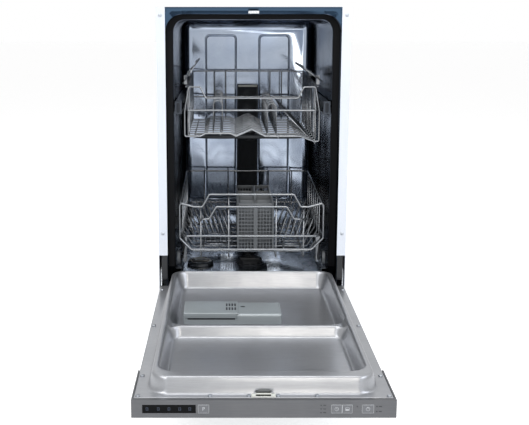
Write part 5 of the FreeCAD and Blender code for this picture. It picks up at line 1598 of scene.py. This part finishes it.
@dataclass
class SprayArms:
    """The two spray arms and the pipe that feeds the upper one."""

    length: float = 300.0
    width: float = 46.0
    height: float = 12.0
    upper_yaw: float = 0.0
    lower_yaw: float = -25.0
    soft: float = 0.55
    nozzles: tuple[tuple[float, float], ...] = ((-132, 8), (-104, -9), (-76, 6), (-50, -5),
                                                (132, -8), (104, 9), (76, -6), (50, 5))

    def build(self, shop: Workshop) -> None:
        """Build both arms and dress the feed pipe.

        Args:
            shop: the workshop that makes the pieces.
        """
        shop.smooth(BLACK_PP, "upper_spray_feed")
        for node, yaw in (("upper_spray_arm", self.upper_yaw), ("lower_spray_arm", self.lower_yaw)):
            low, high = shop.bounds(node)
            self.arm(shop, node, (low + high) / 2, math.radians(yaw))

    def arm(self, shop: Workshop, node: str, centre: Array, yaw: float) -> None:
        """One arm with its nozzles.

        The body is a rounded box section whose half width follows a superellipse from tip to
        tip, waisted a little beside the hub, and which thins towards its tips; the nozzles are
        small turned collars along it.

        Args:
            shop: the workshop that makes the pieces.
            node: the arm.
            centre: its middle.
            yaw: how far it is turned, in radians.
        """
        rows, columns = 97, 33
        t = np.linspace(-1, 1, rows)[:, None]
        angle = np.linspace(0, 2 * np.pi, columns)[None, :]
        half = self.width / 2 * (1 - np.abs(t) ** 7) ** 0.5
        half = half * (1 - 0.22 * np.exp(-((np.abs(t) - 0.28) / 0.12) ** 2))
        thick = self.height / 2 * (1 - 0.25 * np.abs(t) ** 3) * (1 - np.abs(t) ** 30) ** 0.5
        x = self.length / 2 * t * np.ones_like(angle)
        y = half * np.sign(np.cos(angle)) * np.abs(np.cos(angle)) ** self.soft
        z = thick * np.sign(np.sin(angle)) * np.abs(np.sin(angle)) ** self.soft
        body = np.stack([x, y, z], axis=-1).reshape(-1, 3)
        shapes = [(body, strip_faces(rows, columns))]
        collar = np.array([[0, 4.2], [1.2, 4.2], [1.6, 5.7], [2.6, 5.9], [3.6, 4.6], [3.6, 3.0],
                           [0, 3.0]])
        shapes += [revolve(collar, np.array([x, y, 0.0]), 16) for x, y in self.nozzles]
        turned = []
        for points, faces in shapes:
            rotated = points.copy()
            rotated[:, 0] = points[:, 0] * math.cos(yaw) - points[:, 1] * math.sin(yaw)
            rotated[:, 1] = points[:, 0] * math.sin(yaw) + points[:, 1] * math.cos(yaw)
            turned.append((rotated + centre, faces))
        shop.instead(node + "_moulding", turned, BASE_PP, node)


# ------------------------------------------------------------------------------------------------
# studio
# ------------------------------------------------------------------------------------------------
@dataclass(frozen=True)
class Lamp:
    """One soft square lamp: where it hangs, where it points, its width, watts and colour."""

    name: str
    spot: tuple[float, float, float]
    aim: tuple[float, float, float]
    size: float
    power: float
    colour: str


@dataclass
class Studio:
    """White floor, soft lamps and the camera."""

    lamps: tuple[Lamp, ...] = (
        Lamp("key", (-1.6, -2.2, 2.6), (0.0, 0.0, 0.3), 1.8, 42, "#ffffff"),
        Lamp("fill", (1.9, -1.8, 1.9), (0.0, 0.0, 0.3), 1.6, 26, "#f3f7ff"),
        Lamp("top", (0.0, -0.4, 2.6), (0.0, -0.3, 0.2), 1.4, 20, "#ffffff"),
        Lamp("front", (0.3, -2.5, 1.15), (0.0, 0.4, 0.2), 0.7, 8, "#fff8ee"))
    place: tuple[float, float, float] = (-0.06615, -1.87045, 0.77875)
    tilt: float = 80.388
    sensor: float = 36.0
    lens: float = 55.706086956521744
    shift: tuple[float, float] = (0.07534971644612479, -0.0986578449905482)
    reach: float = 30.0
    paper: float = 0.85
    glow: float = 0.6
    light: float = 0.38

    def build(self) -> None:
        """Set up floor, world, lamps, colour management and camera."""
        self.floor()
        self.world()
        for lamp in self.lamps:
            self.hang(lamp)
        scene = bpy.context.scene
        scene.view_settings.view_transform = "Standard"
        lens = bpy.data.cameras.new("camera")
        lens.sensor_width = self.sensor
        lens.lens = self.lens
        lens.shift_x, lens.shift_y = self.shift
        lens.dof.use_dof = False
        camera = bpy.data.objects.new("camera", lens)
        camera.location = self.place
        camera.rotation_euler = (math.radians(self.tilt), 0, 0)
        scene.collection.objects.link(camera)
        scene.camera = camera

    def hang(self, lamp: Lamp) -> None:
        """Hang one lamp and turn it to its aim.

        Args:
            lamp: the lamp.
        """
        light = bpy.data.lights.new(lamp.name, "AREA")
        light.size, light.energy, light.color = lamp.size, lamp.power, linear(lamp.colour)[:3]
        thing = bpy.data.objects.new(lamp.name, light)
        thing.location = lamp.spot
        line = np.array(lamp.aim) - np.array(lamp.spot)
        flat = math.hypot(line[0], line[1])
        thing.rotation_euler = (math.pi / 2 + math.atan2(line[2], flat), 0,
                                math.atan2(line[1], line[0]) - math.pi / 2)
        bpy.context.scene.collection.objects.link(thing)

    def floor(self) -> None:
        """A wide white floor that the camera and reflections see as paper white."""
        mesh = bpy.data.meshes.new("floor")
        reach = self.reach
        mesh.from_pydata([(-reach, -reach, 0), (reach, -reach, 0), (reach, reach, 0),
                          (-reach, reach, 0)], [], [(0, 1, 2, 3)])
        thing = bpy.data.objects.new("floor", mesh)
        bpy.context.scene.collection.objects.link(thing)
        material = bpy.data.materials.new("White paper sweep")
        material.use_nodes = True
        tree = material.node_tree
        tree.nodes.clear()
        glow = add(tree, "Math", {0: seen(tree), 1: self.glow}, operation="MULTIPLY")
        shader = add(tree, "BsdfPrincipled", {"Base Color": (*[self.paper] * 3, 1),
                                              "Roughness": 0.9,
                                              "Emission Color": (1, 1, 1, 1),
                                              "Emission Strength": glow.outputs[0]})
        add(tree, "OutputMaterial", {"Surface": shader.outputs[0]})
        mesh.materials.append(material)
        thing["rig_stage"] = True

    def world(self) -> None:
        """White background for what is seen, and a plain grey glow for what is lit."""
        world = bpy.data.worlds.new("studio")
        bpy.context.scene.world = world
        world.use_nodes = True
        tree = world.node_tree
        tree.nodes.clear()
        strength = add(tree, "MapRange", {"Value": seen(tree), "To Min": self.light,
                                          "To Max": 1.0})
        back = add(tree, "Background", {"Color": (1, 1, 1, 1),
                                        "Strength": strength.outputs["Result"]})
        add(tree, "OutputWorld", {"Surface": back.outputs[0]})


def main() -> list[list[float]]:
    """Build every sub-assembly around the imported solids.

    Returns:
        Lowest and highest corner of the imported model's box.
    """
    logging.basicConfig(level=logging.INFO, format="%(message)s")
    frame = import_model()
    solid_box = [[float(v) for v in corner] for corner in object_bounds()]
    shop = Workshop(frame)
    for part in (Cabinet(), Tub(), Door(), Controls(), Dispenser(), Racks(), SprayArms()):
        part.build(shop)
        log.info("built %s", type(part).__name__)
    Studio().build()
    return solid_box


if __name__ == "__main__":
    main()
